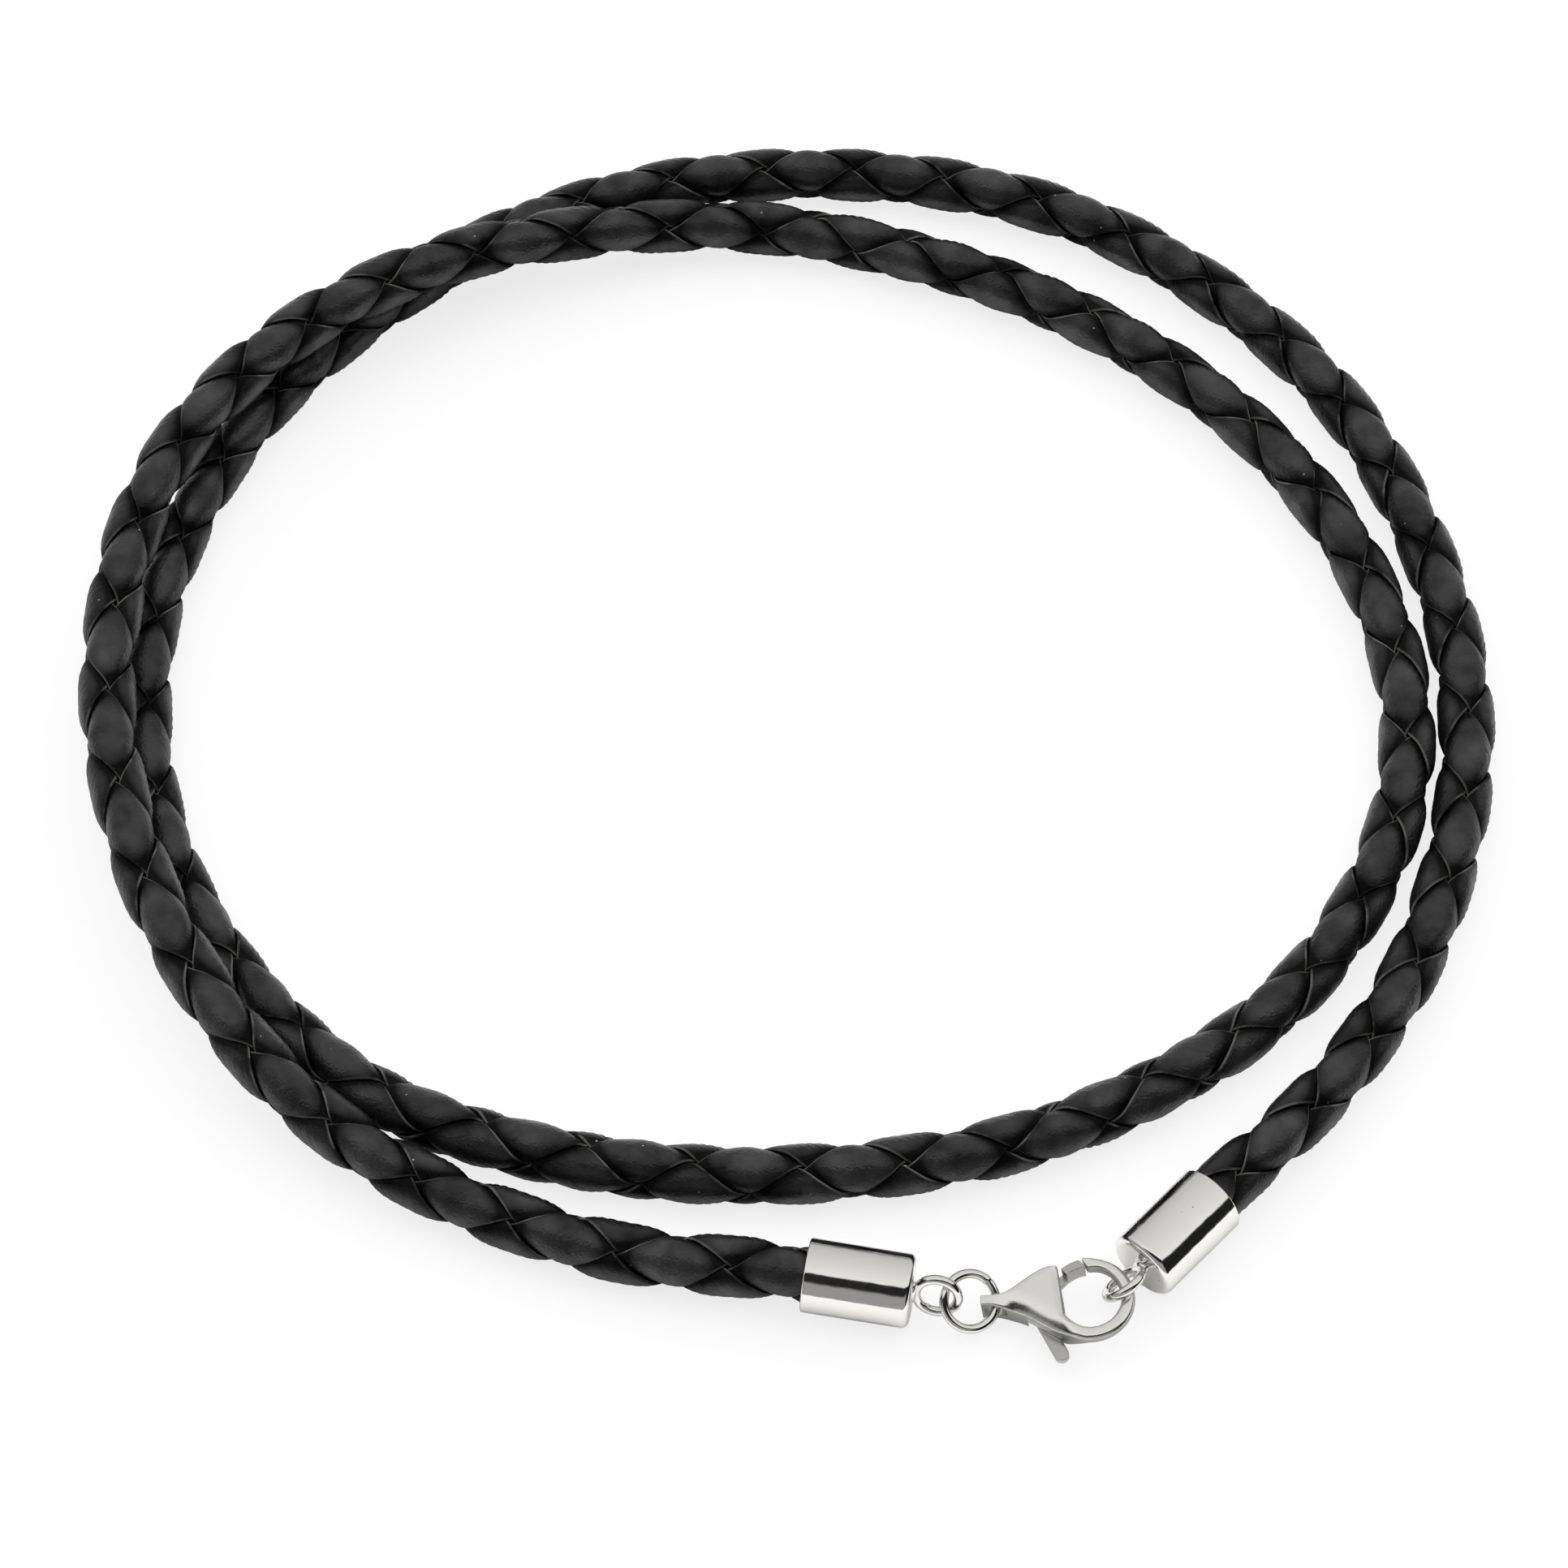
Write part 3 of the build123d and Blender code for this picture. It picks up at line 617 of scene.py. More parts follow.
def leather_material(cord):
    """Drum-dyed cowhide lace: a smooth, pressed grain face with a soft wax shine on its crowns
    that dims deep in the grooves, where painted shade also darkens the colour; pale at its cut
    edges in patches, partly rubbed fibres and partly a painted highlight where the edges catch the
    light;
    with fine pores, creases drawn out along the lace and a few specks of dust."""
    material, add = new_material("black_cowhide_lace")
    place = add("TexCoord.Object")
    strip = add("Attribute.Vector", attribute_name="strip")
    cut = add("Attribute.Fac", attribute_name="cut")
    depth = add("Attribute.Fac", attribute_name="depth")
    drawn = add("Mapping.Vector", {"Vector": strip, "Scale": (0.22, 1.0, 1.0)})
    pores = add("TexVoronoi.Distance", {"Vector": place, "Scale": 1 / PORE}, feature="SMOOTH_F1")
    creases = add("TexNoise.Fac", {"Vector": drawn, "Scale": 1 / CREASE, "Detail": 5.0})
    patches = add("TexNoise.Fac", {"Vector": place, "Scale": 1 / WAX_PATCH, "Detail": 3.0})
    specks = add("TexVoronoi.Distance", {"Vector": place, "Scale": 1 / DUST_SPACING})

    # Colour: uneven dye, painted shade darkening the grooves, pale cut edges in patches (partly
    # rubbed fibres, partly painted highlight), with dust on top
    tone = add("ValToRGB.Color", (patches,), ((0.3, 0.5), (0.7, 1.3)))
    # Painted shade: colour and shine fall with depth below the crowns, standing in for the shade
    # deep in the grooves
    painted_groove_shade = add("ValToRGB.Color", (depth,), ((0.02, 1.0), (0.17, 0.1)))
    # Patches where the pale cut edge shows: partly rubbed fibres, partly a painted highlight where
    # the edges catch the light
    scuff_and_highlight_patches = add("ValToRGB.Color", (patches,), ((0.42, 0.15), (0.58, 1.0)))
    dust = add("ValToRGB.Color", (specks,), ((0.02, 0.8), (0.04, 0.0)))
    dyed = add("Mix.Result", {"Factor": 1.0, "A": (*cord.face_colour, 1.0), "B": tone},
               data_type="RGBA", blend_type="MULTIPLY")
    shaded = add("Mix.Result", {"Factor": 0.75, "A": dyed, "B": painted_groove_shade},
                 data_type="RGBA", blend_type="MULTIPLY")
    scuffed_and_highlit = add("Math.Value", (cut, scuff_and_highlight_patches), operation="MULTIPLY")
    worn_and_highlit = add("Mix.Result", {"Factor": scuffed_and_highlit, "A": shaded, "B": (*cord.cut_edge_highlight_colour, 1.0)},
               data_type="RGBA")
    colour = add("Mix.Result", {"Factor": dust, "A": worn_and_highlit, "B": (*cord.dust_colour, 1.0)},
                 data_type="RGBA")

    # Shine: waxed on the crowns and dimmed deep in the grooves by the same painted-shade mask,
    # duller along the creases and matt where it is cut
    polish_dimmed_in_grooves = add("Math.Value", (painted_groove_shade, tone), operation="MULTIPLY")
    sheen = add("Math.Value", (polish_dimmed_in_grooves, WAX_SHEEN), operation="MULTIPLY")
    gloss = add("MapRange.Result", (creases, 0.3, 0.7, *LEATHER_ROUGHNESS))
    rough = add("Math.Value", (gloss, cut), operation="ADD", use_clamp=True)
    low = add("Bump.Normal", {"Height": creases, "Strength": 0.5, "Distance": 0.1 * MM})
    fine = add("Bump.Normal", {"Height": pores, "Strength": 0.9, "Distance": 0.045 * MM,
                               "Normal": low})
    surface = add("BsdfPrincipled.BSDF", {"Base Color": colour, "Roughness": rough,
                                          "Normal": fine, "Specular IOR Level": sheen})
    add("OutputMaterial", {"Surface": surface})
    return material


def silver_material(name, stage, colour):
    """Cast sterling silver, tumbled and polished: a mirror with faint waves, hairline scratches
    and, where asked for, a few tiny casting pits in patches. Where the mesh is marked as cast, on
    its steep walls, the silver is matt and sandy, as where the wheel didn't reach, and greyer:
    painted shade for the dim floor that those walls reflect. A finish is made once and shared."""
    if name in bpy.data.materials:
        return bpy.data.materials[name]
    roughness, pits = FINISHES[name]
    material, add = new_material(name)
    cast = add("Attribute.Fac", attribute_name="cast")
    place = add("TexCoord.Object")
    waves = add("TexNoise.Fac", {"Vector": place, "Scale": 1 / SILVER_WAVE, "Detail": 2.0})
    brushed = add("Mapping.Vector", {"Vector": place, "Rotation": BRUSHING_TURN,
                                     "Scale": (0.12, 1.0, 1.0)})
    hairs = add("TexNoise.Fac", {"Vector": brushed, "Scale": 1 / HAIRLINE, "Detail": 3.0})
    cells = add("TexVoronoi.Distance", {"Vector": place, "Scale": 1 / PIT_SPACING})
    patches = add("TexNoise.Fac", {"Vector": place, "Scale": 1 / PIT_PATCH, "Detail": 1.0})
    spots = add("ValToRGB.Color", (cells,), ((0.06, 1.0), (0.13, 0.0)))
    where = add("ValToRGB.Color", (patches,), ((0.60, 0.0), (0.66, pits)))
    pit = add("Math.Value", (spots, where), operation="MULTIPLY")
    # Greyer on the steep walls: painted shade
    matt = add("Mix.Result", {"Factor": cast, "A": (*colour, 1.0),
                              "B": (*stage.cast_wall_shade_colour, 1.0)}, data_type="RGBA")
    tone = add("Mix.Result", {"Factor": pit, "A": matt, "B": (*stage.pit_colour, 1.0)},
               data_type="RGBA")
    shine = add("MapRange.Result", (hairs, 0.3, 0.7, roughness * 0.7, roughness * 1.4))
    rough = add("Mix.Result", {"Factor": cast, "A": shine, "B": CAST_ROUGHNESS},
                data_type="FLOAT")
    wavy = add("Bump.Normal", {"Height": waves, "Strength": 0.8, "Distance": 0.04 * MM})
    fine = add("Bump.Normal", {"Height": hairs, "Strength": 0.1, "Distance": 0.004 * MM,
                               "Normal": wavy})
    surface = add("BsdfPrincipled.BSDF", {"Base Color": tone, "Roughness": rough,
                                          "Normal": fine, "Metallic": 1.0})
    add("OutputMaterial", {"Surface": surface})
    return material


def mark_steep_walls(mesh, up, low=0.3, high=0.75):
    """Mark the mesh as cast where its surface stands steeply against the given direction: fully
    where the two agree by the low share or less, and not at all from the high share on. There the
    silver is matt, and greyer as painted shade."""
    normals = np.empty(len(mesh.vertices) * 3, np.float32)
    mesh.vertex_normals.foreach_get("vector", normals)
    facing = np.abs(normals.reshape(-1, 3) @ up)
    mark(mesh, "cast", 1 - np.clip((facing - low) / (high - low), 0.0, 1.0))
    return mesh


def lace_mesh(scene, stations, hand, side):
    """Strip carried along the cord. Round the cord its angle is the braid's turn plus its own
    offset, and its height is the middle radius plus the flattened wave plus its own section."""
    cord = scene.necklace_cord
    at, turn, point, up, across, roll = stations
    middle = cord.diameter / 2 - cord.wave - cord.thickness / 2
    shares, rises, cut = lace_outline(cord, cord.diameter / 2 - cord.thickness / 2)
    side_angle = math.radians(side)
    start = hand * 1.7 + side_angle * 0.9    # each lace wanders from a phase of its own
    reach = cord.reach * (1 + cord.wander * 0.6 * wander(at, start))
    height = cord.wave * (1 + cord.wander * wander(at, start + 4))
    drift = cord.wander * wander(at, start + 8)
    offset = reach[:, None] * shares + drift[:, None]
    around = hand * (turn[:, None] + offset) + side_angle
    over = hand * math.cos(side_angle)
    lift = height[:, None] * over * wave_height(around + hand * turn[:, None], cord.flatness)
    radius = middle + lift + rises
    around = around + roll[:, None]
    points = (point[:, None] + (radius * np.cos(around))[..., None] * up[:, None]
              + (radius * np.sin(around))[..., None] * across[:, None])
    mesh = mesh_of("lace", *closed_tube(points, points[0].mean(axis=0), points[-1].mean(axis=0)))
    rows, columns = around.shape
    strip = np.zeros((len(mesh.vertices), 3))
    strip[:-2, 0] = np.repeat(at + STRIP_SHIFT * start, columns)
    strip[:-2, 1] = (offset * cord.diameter / 2).ravel()
    mark(mesh, "strip", strip, "FLOAT_VECTOR", "vector")
    mark(mesh, "cut", np.concatenate([np.tile(cut, rows), [0.0, 0.0]]))
    # Depth below the crowns, which the leather reads to paint shade into the grooves
    sunk = (cord.diameter / 2 - radius).ravel() / cord.diameter * 2
    mark(mesh, "depth", np.concatenate([sunk, [1.0, 1.0]]))
    return mesh


def turned(profile, segments):
    """Closed surface of revolution about Z: each profile point (radius, height) is carried round,
    and the profile's two ends lie on the axis, where fans of triangles close it."""
    angles = np.arange(segments) * 2 * np.pi / segments
    ring = np.stack([np.cos(angles), np.sin(angles), np.ones(segments)], axis=1)
    points = profile[1:-1, None][..., [0, 0, 1]] * ring
    return closed_tube(points, (0.0, 0.0, profile[0, 1]), (0.0, 0.0, profile[-1, 1]))


def rod(radius, half, segments):
    """Closed cylinder about Z, reaching half its length below and above the middle."""
    return turned(np.array([(0.0, -half), (radius, -half), (radius, half), (0.0, half)]), segments)


def arc(centre, radius, start, end, steps):
    """Points of a circular arc, angles in degrees."""
    angles = np.radians(np.linspace(start, end, steps + 1))
    return np.array(centre) + radius * np.stack([np.cos(angles), np.sin(angles)], axis=1)


def ring_surface(radius, wire_radius, segments, sides, swell=None):
    """Torus about Z: a circle of the wire's radius carried round, swollen by a share per
    segment."""
    u = np.arange(segments) * 2 * np.pi / segments
    v = np.arange(sides) * 2 * np.pi / sides
    wire = wire_radius * (np.ones(segments) if swell is None else swell)
    reach = radius + wire[:, None] * np.cos(v)
    points = np.stack([
        reach * np.cos(u)[:, None],
        reach * np.sin(u)[:, None],
        wire[:, None] * np.sin(v),
    ], axis=2).reshape(-1, 3)
    index = np.arange(segments * sides).reshape(segments, sides)
    far = np.roll(index, -1, axis=0)
    quads = (index, far, np.roll(far, -1, axis=1), np.roll(index, -1, axis=1))
    return points, np.stack([q.ravel() for q in quads], axis=1)


def cap_mesh(caps, end, axis, roll):
    """Cup turned about its axis, with its ring and a flat bead of solder joined to its closed
    end."""
    radius, wire = caps.diameter / 2, caps.ring_wire
    bore = radius - caps.wall
    big, small = caps.end_rounding, caps.rim_rounding
    floor, rim = -caps.end_thickness, small - caps.length
    profile = np.vstack([
        [(0.0, 0.0), (radius * 0.4, 0.0)],
        arc((radius - big, -big), big, 90, 0, 12),
        [(radius, -caps.length * part) for part in (0.25, 0.5, 0.75)],
        arc((radius - small, rim), small, 0, -90, 6),
        arc((bore + small, rim), small, -90, -180, 6),
        [(bore, floor - 4 * small)],
        arc((bore - 2 * small, floor - 2 * small), 2 * small, 0, 90, 5),
        [(0.0, floor)],
    ])
    loop, loop_quads = ring_surface(caps.ring_diameter / 2, wire / 2, *FACES["loop"])
    loop = loop[:, [0, 2, 1]] * (1.0, -1.0, 1.0) + (0.0, 0.0, ring_offset(caps))
    bead, *bead_faces = turned(arc((0.0, 0.0), 1.0, 90, -90, 16), FACES["bead"])
    bead = bead * (wire * 1.25, wire * 0.72, caps.solder_depth * 2.2)
    cup = mesh_of("cup", *turned(profile, FACES["cup"]))
    cup = combined(cup, mesh_of("loop", loop, loop_quads), "UNION")
    cup = without_slivers(combined(cup, mesh_of("bead", bead, *bead_faces), "UNION"))
    side = unit(np.cross(UP, axis))
    side = side * math.cos(roll) + np.cross(axis, side) * math.sin(roll)
    return placed(cup, end, side, axis)


def resampled(outline, spacing):
    """A closed outline with evenly spaced points, its first point not repeated."""
    closed = np.vstack([outline, outline[:1]])
    return along_length(closed, spacing)[1][:-1]


def soft_corners(outline, run, spacing):
    """A closed outline whose corners are rounded by averaging its points over a short run."""
    fine = resampled(outline, spacing / 4)
    reach = max(1, int(round(run / spacing * 2)))
    window = [np.roll(fine, k, axis=0) for k in range(-reach, reach + 1)]
    return resampled(sum(window) / len(window), spacing)


def inside_outline(points, outline):
    """Which points lie inside a closed outline: an odd number of its edges cross a ray to +X."""
    a, b = outline, np.roll(outline, -1, axis=0)
    above = (a[:, 1] > points[:, 1:]) != (b[:, 1] > points[:, 1:])
    slope = (b[:, 0] - a[:, 0]) / np.where(b[:, 1] == a[:, 1], 1e-12, b[:, 1] - a[:, 1])
    hits = above & (points[:, :1] < a[:, 0] + slope * (points[:, 1:] - a[:, 1]))
    return hits.sum(axis=1) % 2 == 1


def fitted_rounding(outline, rounding):
    """Edge rounding along an outline, held below the radius of each of its outer corners."""
    reach = 4
    ahead = np.roll(outline, -1, axis=0) - outline
    behind = np.roll(ahead, 1, axis=0)
    turn = (behind[:, 0] * ahead[:, 1] - behind[:, 1] * ahead[:, 0])
    turn /= np.linalg.norm(ahead, axis=1) * np.linalg.norm(behind, axis=1)
    radius = np.linalg.norm(ahead, axis=1) / np.maximum(turn, 1e-6)
    limit = np.minimum(0.7 * radius, rounding)
    limit = np.min([np.roll(limit, k) for k in range(-reach, reach + 1)], axis=0)
    return np.mean([np.roll(limit, k) for k in range(-reach, reach + 1)], axis=0)


def plate_mesh(name, outline, rounding, top, bottom, grid):
    """Closed plate over a flat outline that runs anticlockwise. Rings of points step inwards from
    the outline along a quarter circle, the top sits at top(x, y) and the bottom at bottom(x, y),
    and the flat middle is filled with a grid joined up by a constrained triangulation."""
    tangent = unit(np.roll(outline, -1, axis=0) - np.roll(outline, 1, axis=0))
    inward = np.stack([-tangent[:, 1], tangent[:, 0]], axis=1)
    rounding = fitted_rounding(outline, rounding)
    steps = np.radians(np.linspace(0, 90, 7))
    rings = [outline + inward * (rounding * (1 - math.cos(s)))[:, None] for s in steps]
    drops = [rounding * (1 - math.sin(s)) for s in steps]
    low, high = outline.min(axis=0), outline.max(axis=0)
    xs, ys = np.meshgrid(np.arange(low[0], high[0], grid), np.arange(low[1], high[1], grid))
    ys[:, ::2] += grid / 2
    field = np.stack([xs.ravel(), ys.ravel()], axis=1)
    field = field[inside_outline(field, rings[-1])]
    nearest = np.linalg.norm(field[:, None] - rings[-1][None], axis=2).min(axis=1)
    field = field[nearest > grid * 0.6]      # leaves no thin triangles along the rim
    flat = np.vstack([rings[-1], field])
    edge = np.arange(len(outline))
    following = np.roll(edge, -1)
    # Kind 1 keeps the triangles that lie inside the border
    verts, _, faces, origin, _, _ = delaunay_2d_cdt(
        (flat * (1 / MM)).tolist(), np.stack([edge, following], axis=1).tolist(), [], 1, 1e-6
    )
    if len(verts) != len(flat):
        raise RuntimeError("the outline of " + name + " crosses itself")
    half = np.vstack(rings[:-1] + [flat])
    drop = np.concatenate(drops + [np.zeros(len(field))])
    count = len(half)
    upper = np.column_stack([half, top(half[:, 0], half[:, 1]) - drop])
    lower = np.column_stack([half, bottom(half[:, 0], half[:, 1]) + drop])
    strips = tube_faces(len(rings), len(outline))
    inner = np.ravel(origin)[np.array(faces)] + (len(rings) - 1) * len(outline)
    wall = np.stack([edge + count, following + count, following, edge], axis=1)
    quads = np.vstack([strips, (strips + count)[:, ::-1], wall])
    inner = np.vstack([inner, (inner + count)[:, ::-1]])
    return mesh_of(name, np.vstack([upper, lower]), quads, inner)


def soft_step(value, blur):
    """A ramp from 0 to 1 over values 0 to 1, its two corners rounded over the blur."""
    def bend(t):
        return np.where(t > blur, t, np.where(t < -blur, 0.0, (t + blur) ** 2 / (4 * blur)))
    return bend(value) - bend(value - 1)


def on_hook(clasp, radius, degrees, shift=0.0):
    """Point of the clasp's plane at a radius and angle about the hook's middle."""
    turn = np.radians(degrees)
    return np.stack([clasp.hook_reach + radius * np.cos(turn), shift + radius * np.sin(turn)],
                    axis=-1)


def hook_middle(clasp):
    """Radius of the middle line of the hook's wire."""
    return (clasp.hook_outer + clasp.hook_opening) / 4


def clasp_stretches(clasp):
    """Five stretches of the flat outline of body and hook, anticlockwise from the tail: near side,
    outside and inside of the hook, front face and far side."""
    tail, shoulder = clasp.tail_width / 2, clasp.shoulder_width / 2
    length, back = clasp.body_length, -clasp.tail_overhang
    root, tip, mouth = np.degrees((clasp.root_angle, clasp.tip_angle, clasp.mouth_angle))
    tip_inside = tip - math.degrees(clasp.tip_slant)
    inner, outer = clasp.hook_opening / 2, clasp.hook_outer / 2
    near_side = smooth_curve(np.array([
        (back, -tail), (0.0, -tail * 1.05), (length * 0.24, -tail * 2),
        (length * 0.46, -shoulder * 0.48), (length * 0.68, -shoulder * 0.74),
        (length * 0.92, -shoulder * 1.02), (length * 1.12, -shoulder * 1.18),
        tuple(on_hook(clasp, outer, root)),
    ]), SIDE_STEPS)
    outside = on_hook(clasp, outer, np.linspace(root, tip, 120))
    inside = on_hook(clasp, inner, np.linspace(tip_inside, mouth, 100), clasp.opening_shift)
    front = np.array([
        (length + clasp.front_lean, 0.0),
        (length + clasp.front_lean * 0.2, shoulder * 0.8),
    ])
    far_side = smooth_curve(np.array([
        (length, shoulder), (length * 0.86, shoulder * 0.99), (length * 0.68, shoulder * 0.87),
        (length * 0.4, shoulder * 0.53), (length * 0.19, tail * 1.65), (0.0, tail * 1.05),
        (back, tail),
    ]), SIDE_STEPS)
    return near_side, outside, inside, front, far_side


def distance_to(path, points):
    """Least distance of each point from an open path of straight pieces."""
    start, along = path[:-1], np.diff(path, axis=0)
    away = points[:, None] - start
    part = np.clip((away * along).sum(axis=2) / (along**2).sum(axis=1), 0.0, 1.0)
    return np.linalg.norm(away - part[..., None] * along, axis=2).min(axis=1)


def hook_slope(clasp, x, y):
    """How far down the slope from body to hook each point lies, from 0 on the body to 1 on the
    hook. The slope leans forward towards the near side."""
    start = clasp.slope_start - clasp.slope_turn * y
    return soft_step((x - start) / clasp.slope_length, clasp.slope_blur)


def clasp_heights(clasp):
    """Top and underside of the body and hook at (x, y). The top is a pillow that falls away to the
    body's sides and a lip along its front, then the slope down to the hook. The underside is flat
    and slopes up to the hook."""
    body, hook = clasp.thickness / 2, clasp.hook_thickness / 2
    near_side, _, inside, front, far_side = clasp_stretches(clasp)
    face = np.vstack([inside[-LIP_STEPS:], front])

    def dome(path, points, run):
        return np.clip(1 - distance_to(path, points) / run, 0.0, 1.0)

    def top(x, y):
        points = np.column_stack([x, y])
        pillow = np.maximum(clasp.near_drop * dome(near_side, points, clasp.near_run) ** 2,
                            clasp.pillow_drop * dome(far_side, points, clasp.pillow_run) ** 2)
        pillow *= np.clip((x + clasp.pillow_start) / clasp.pillow_rise, 0.0, 1.0)
        lip = clasp.lip_drop * dome(face, points, clasp.lip_run)
        fall = hook_slope(clasp, x, y)
        return body - (body - hook) * fall - np.maximum(pillow, lip) * (1 - fall)

    def underside(x, y):
        return (body - hook) * hook_slope(clasp, x, y) - body

    return top, underside


def arm_reach(angles, heading, length, half_width):
    """How far a ray at each angle reaches inside a round-ended arm that starts at the pivot."""
    turn = angles - heading
    across, forward = np.abs(np.sin(turn)), np.cos(turn)
    side = half_width / np.maximum(across, 1e-9)
    end = length * forward + np.sqrt(np.maximum(half_width**2 - (length * across) ** 2, 0.0))
    reach = np.where(side * forward <= length, side, end)
    return np.where(forward > 0, reach, half_width)


def lever_outline(clasp, lever, margin=0.0, sweep=(0.0,)):
    """Outline of the lever about its pivot, grown by a margin and swept through turns: at each
    angle it reaches as far as the furthest of hub, gate arm and thumb arm."""
    pivot = np.array([lever.pivot_reach, 0.0])
    gate_root = on_hook(clasp, hook_middle(clasp), math.degrees(lever.gate_end + lever.gate_lap))
    gate_root = gate_root - pivot
    arms = (
        (math.atan2(gate_root[1], gate_root[0]), np.linalg.norm(gate_root), lever.arm_width / 2),
        (lever.thumb_angle, lever.thumb_reach - lever.thumb_width / 2, lever.thumb_width / 2),
    )
    angles = np.linspace(0, 2 * np.pi, 7200, endpoint=False)
    reach = np.full(len(angles), lever.hub_diameter / 2 + margin)
    for turn in sweep:
        for heading, length, half in arms:
            reach = np.maximum(reach, arm_reach(angles, heading + turn, length, half + margin))
    return pivot + reach[:, None] * np.stack([np.cos(angles), np.sin(angles)], axis=1)


def level(height):
    """A flat top or bottom at one height."""
    return lambda x, y: np.full(len(x), height)


def gate_outline(clasp, lever):
    """Outline of the gate: a stretch of the hook's ring, slanted where it meets the hook's tip."""
    middle = hook_middle(clasp)
    start = math.degrees(clasp.tip_angle + lever.gate_gap / middle)
    end = math.degrees(lever.gate_end)
    inner = start - math.degrees(clasp.tip_slant)
    outer_arc = on_hook(clasp, middle + lever.gate_width / 2, np.linspace(start, end, 24))
    inner_arc = on_hook(clasp, middle - lever.gate_width / 2, np.linspace(end, inner, 24))
    return soft_corners(np.vstack([outer_arc, inner_arc]), lever.gate_corner, clasp.detail / 2)


def carried(mesh, scene):
    """A mesh of the clasp's own plane, laid where the clasp lies."""
    fastening = Fastening(scene)
    return placed(mesh, fastening.eye, fastening.clasp_x, fastening.clasp_z)


def lever_floor(clasp, lever):
    """Height of the lever's underside in the clasp's own plane."""
    return lever.head_thickness + lever.gap - clasp.thickness / 2


def clasp_body_mesh(scene):
    """Body and hook as one plate, less the eye and the lever's pocket, plus the rivet. The edge's
    rounding grows from the body to the hook and is small again round the hook's tip."""
    clasp, lever = scene.necklace_clasp, scene.necklace_lever
    outline = soft_corners(np.vstack(clasp_stretches(clasp)), clasp.corner_run, clasp.detail)
    hookward = soft_step((outline[:, 0] - clasp.body_length) / EDGE_RUN, 0.2)
    tip = on_hook(clasp, hook_middle(clasp), math.degrees(clasp.tip_angle))
    near_tip = np.clip(1 - np.linalg.norm(outline - tip, axis=1) / TIP_RUN, 0, 1)
    rounding = clasp.body_rounding + (clasp.hook_rounding - clasp.body_rounding) * hookward
    rounding = rounding * (1 - near_tip) + clasp.body_rounding * near_tip
    body = plate_mesh("clasp_body", outline, rounding, *clasp_heights(clasp), BODY_GRID)
    drill, *faces = rod(clasp.eye_diameter / 2, clasp.thickness, FACES["eye"])
    body = combined(body, mesh_of("drill", drill[:, [0, 2, 1]], *faces), "DIFFERENCE")
    ceiling = lever_floor(clasp, lever) + lever.thickness + lever.gap
    sweep = np.linspace(0.0, -lever.travel, 12)
    swept = resampled(lever_outline(clasp, lever, lever.gap, sweep), clasp.detail)
    pocket = plate_mesh("pocket", swept, POCKET_ROUNDING, level(ceiling),
                        level(-clasp.thickness), POCKET_GRID)
    body = combined(body, pocket, "DIFFERENCE")
    half, head, shank = clasp.thickness / 2, lever.head_diameter / 2, lever.rivet_diameter / 2
    rivet, *faces = turned(np.array([
        (0.0, ceiling + lever.gap), (shank, ceiling + lever.gap),
        (shank, lever.head_thickness - half), (head, lever.head_thickness - half),
        (head, HEAD_EDGE - half), (head * 0.85, HEAD_DOME - half), (head * 0.5, -half),
        (0.0, -half),
    ]), FACES["rivet"])
    rivet = mesh_of("rivet", rivet + (lever.pivot_reach, 0.0, 0.0), *faces)
    return carried(combined(body, rivet, "UNION"), scene)


def lever_mesh(scene):
    """Plate of the lever with the gate standing on it, bored for the rivet."""
    clasp, lever = scene.necklace_clasp, scene.necklace_lever
    bottom = lever_floor(clasp, lever)
    outline = soft_corners(lever_outline(clasp, lever), lever.corner_run, clasp.detail)
    plate = plate_mesh("clasp_lever", outline, lever.rounding, level(bottom + lever.thickness),
                       level(bottom), LEVER_GRID)
    gate = plate_mesh("gate", gate_outline(clasp, lever), lever.rounding,
                      level(bottom + lever.gate_height), level(bottom), GATE_GRID)
    bore, *faces = rod(lever.rivet_diameter / 2 + lever.gap, clasp.thickness, FACES["rivet"])
    bore = mesh_of("bore", bore + (lever.pivot_reach, 0.0, 0.0), *faces)
    return carried(combined(combined(plate, gate, "UNION"), bore, "DIFFERENCE"), scene)


class NECKLACE_OT_laces(bpy.types.Operator):
    """Build the four leather laces of the braided cord"""
    bl_idname = "necklace.laces"
    bl_label = "Leather laces"

    def execute(self, context):
        scene = context.scene
        leather = leather_material(scene.necklace_cord)
        stations = cord_stations(scene)
        for node, hand, side in LACES:
            place_piece(node, lace_mesh(scene, stations, hand, side), leather, "leather")
        return {"FINISHED"}


class NECKLACE_OT_caps(bpy.types.Operator):
    """Build the two silver end caps with their soldered rings"""
    bl_idname = "necklace.caps"
    bl_label = "End caps"

    def execute(self, context):
        scene = context.scene
        place, fastening = scene.necklace_place, Fastening(scene)
        stage = scene.necklace_stage
        silver = silver_material("polished_sterling_silver", stage, stage.silver_colour)
        for node, end, axis, roll in (
            ("end_cap_left", fastening.left_end, fastening.left_axis, place.left_roll),
            ("end_cap_right", fastening.right_end, fastening.right_axis, place.right_roll),
        ):
            place_piece(node, cap_mesh(scene.necklace_caps, end, axis, roll), silver, "silver")
        return {"FINISHED"}


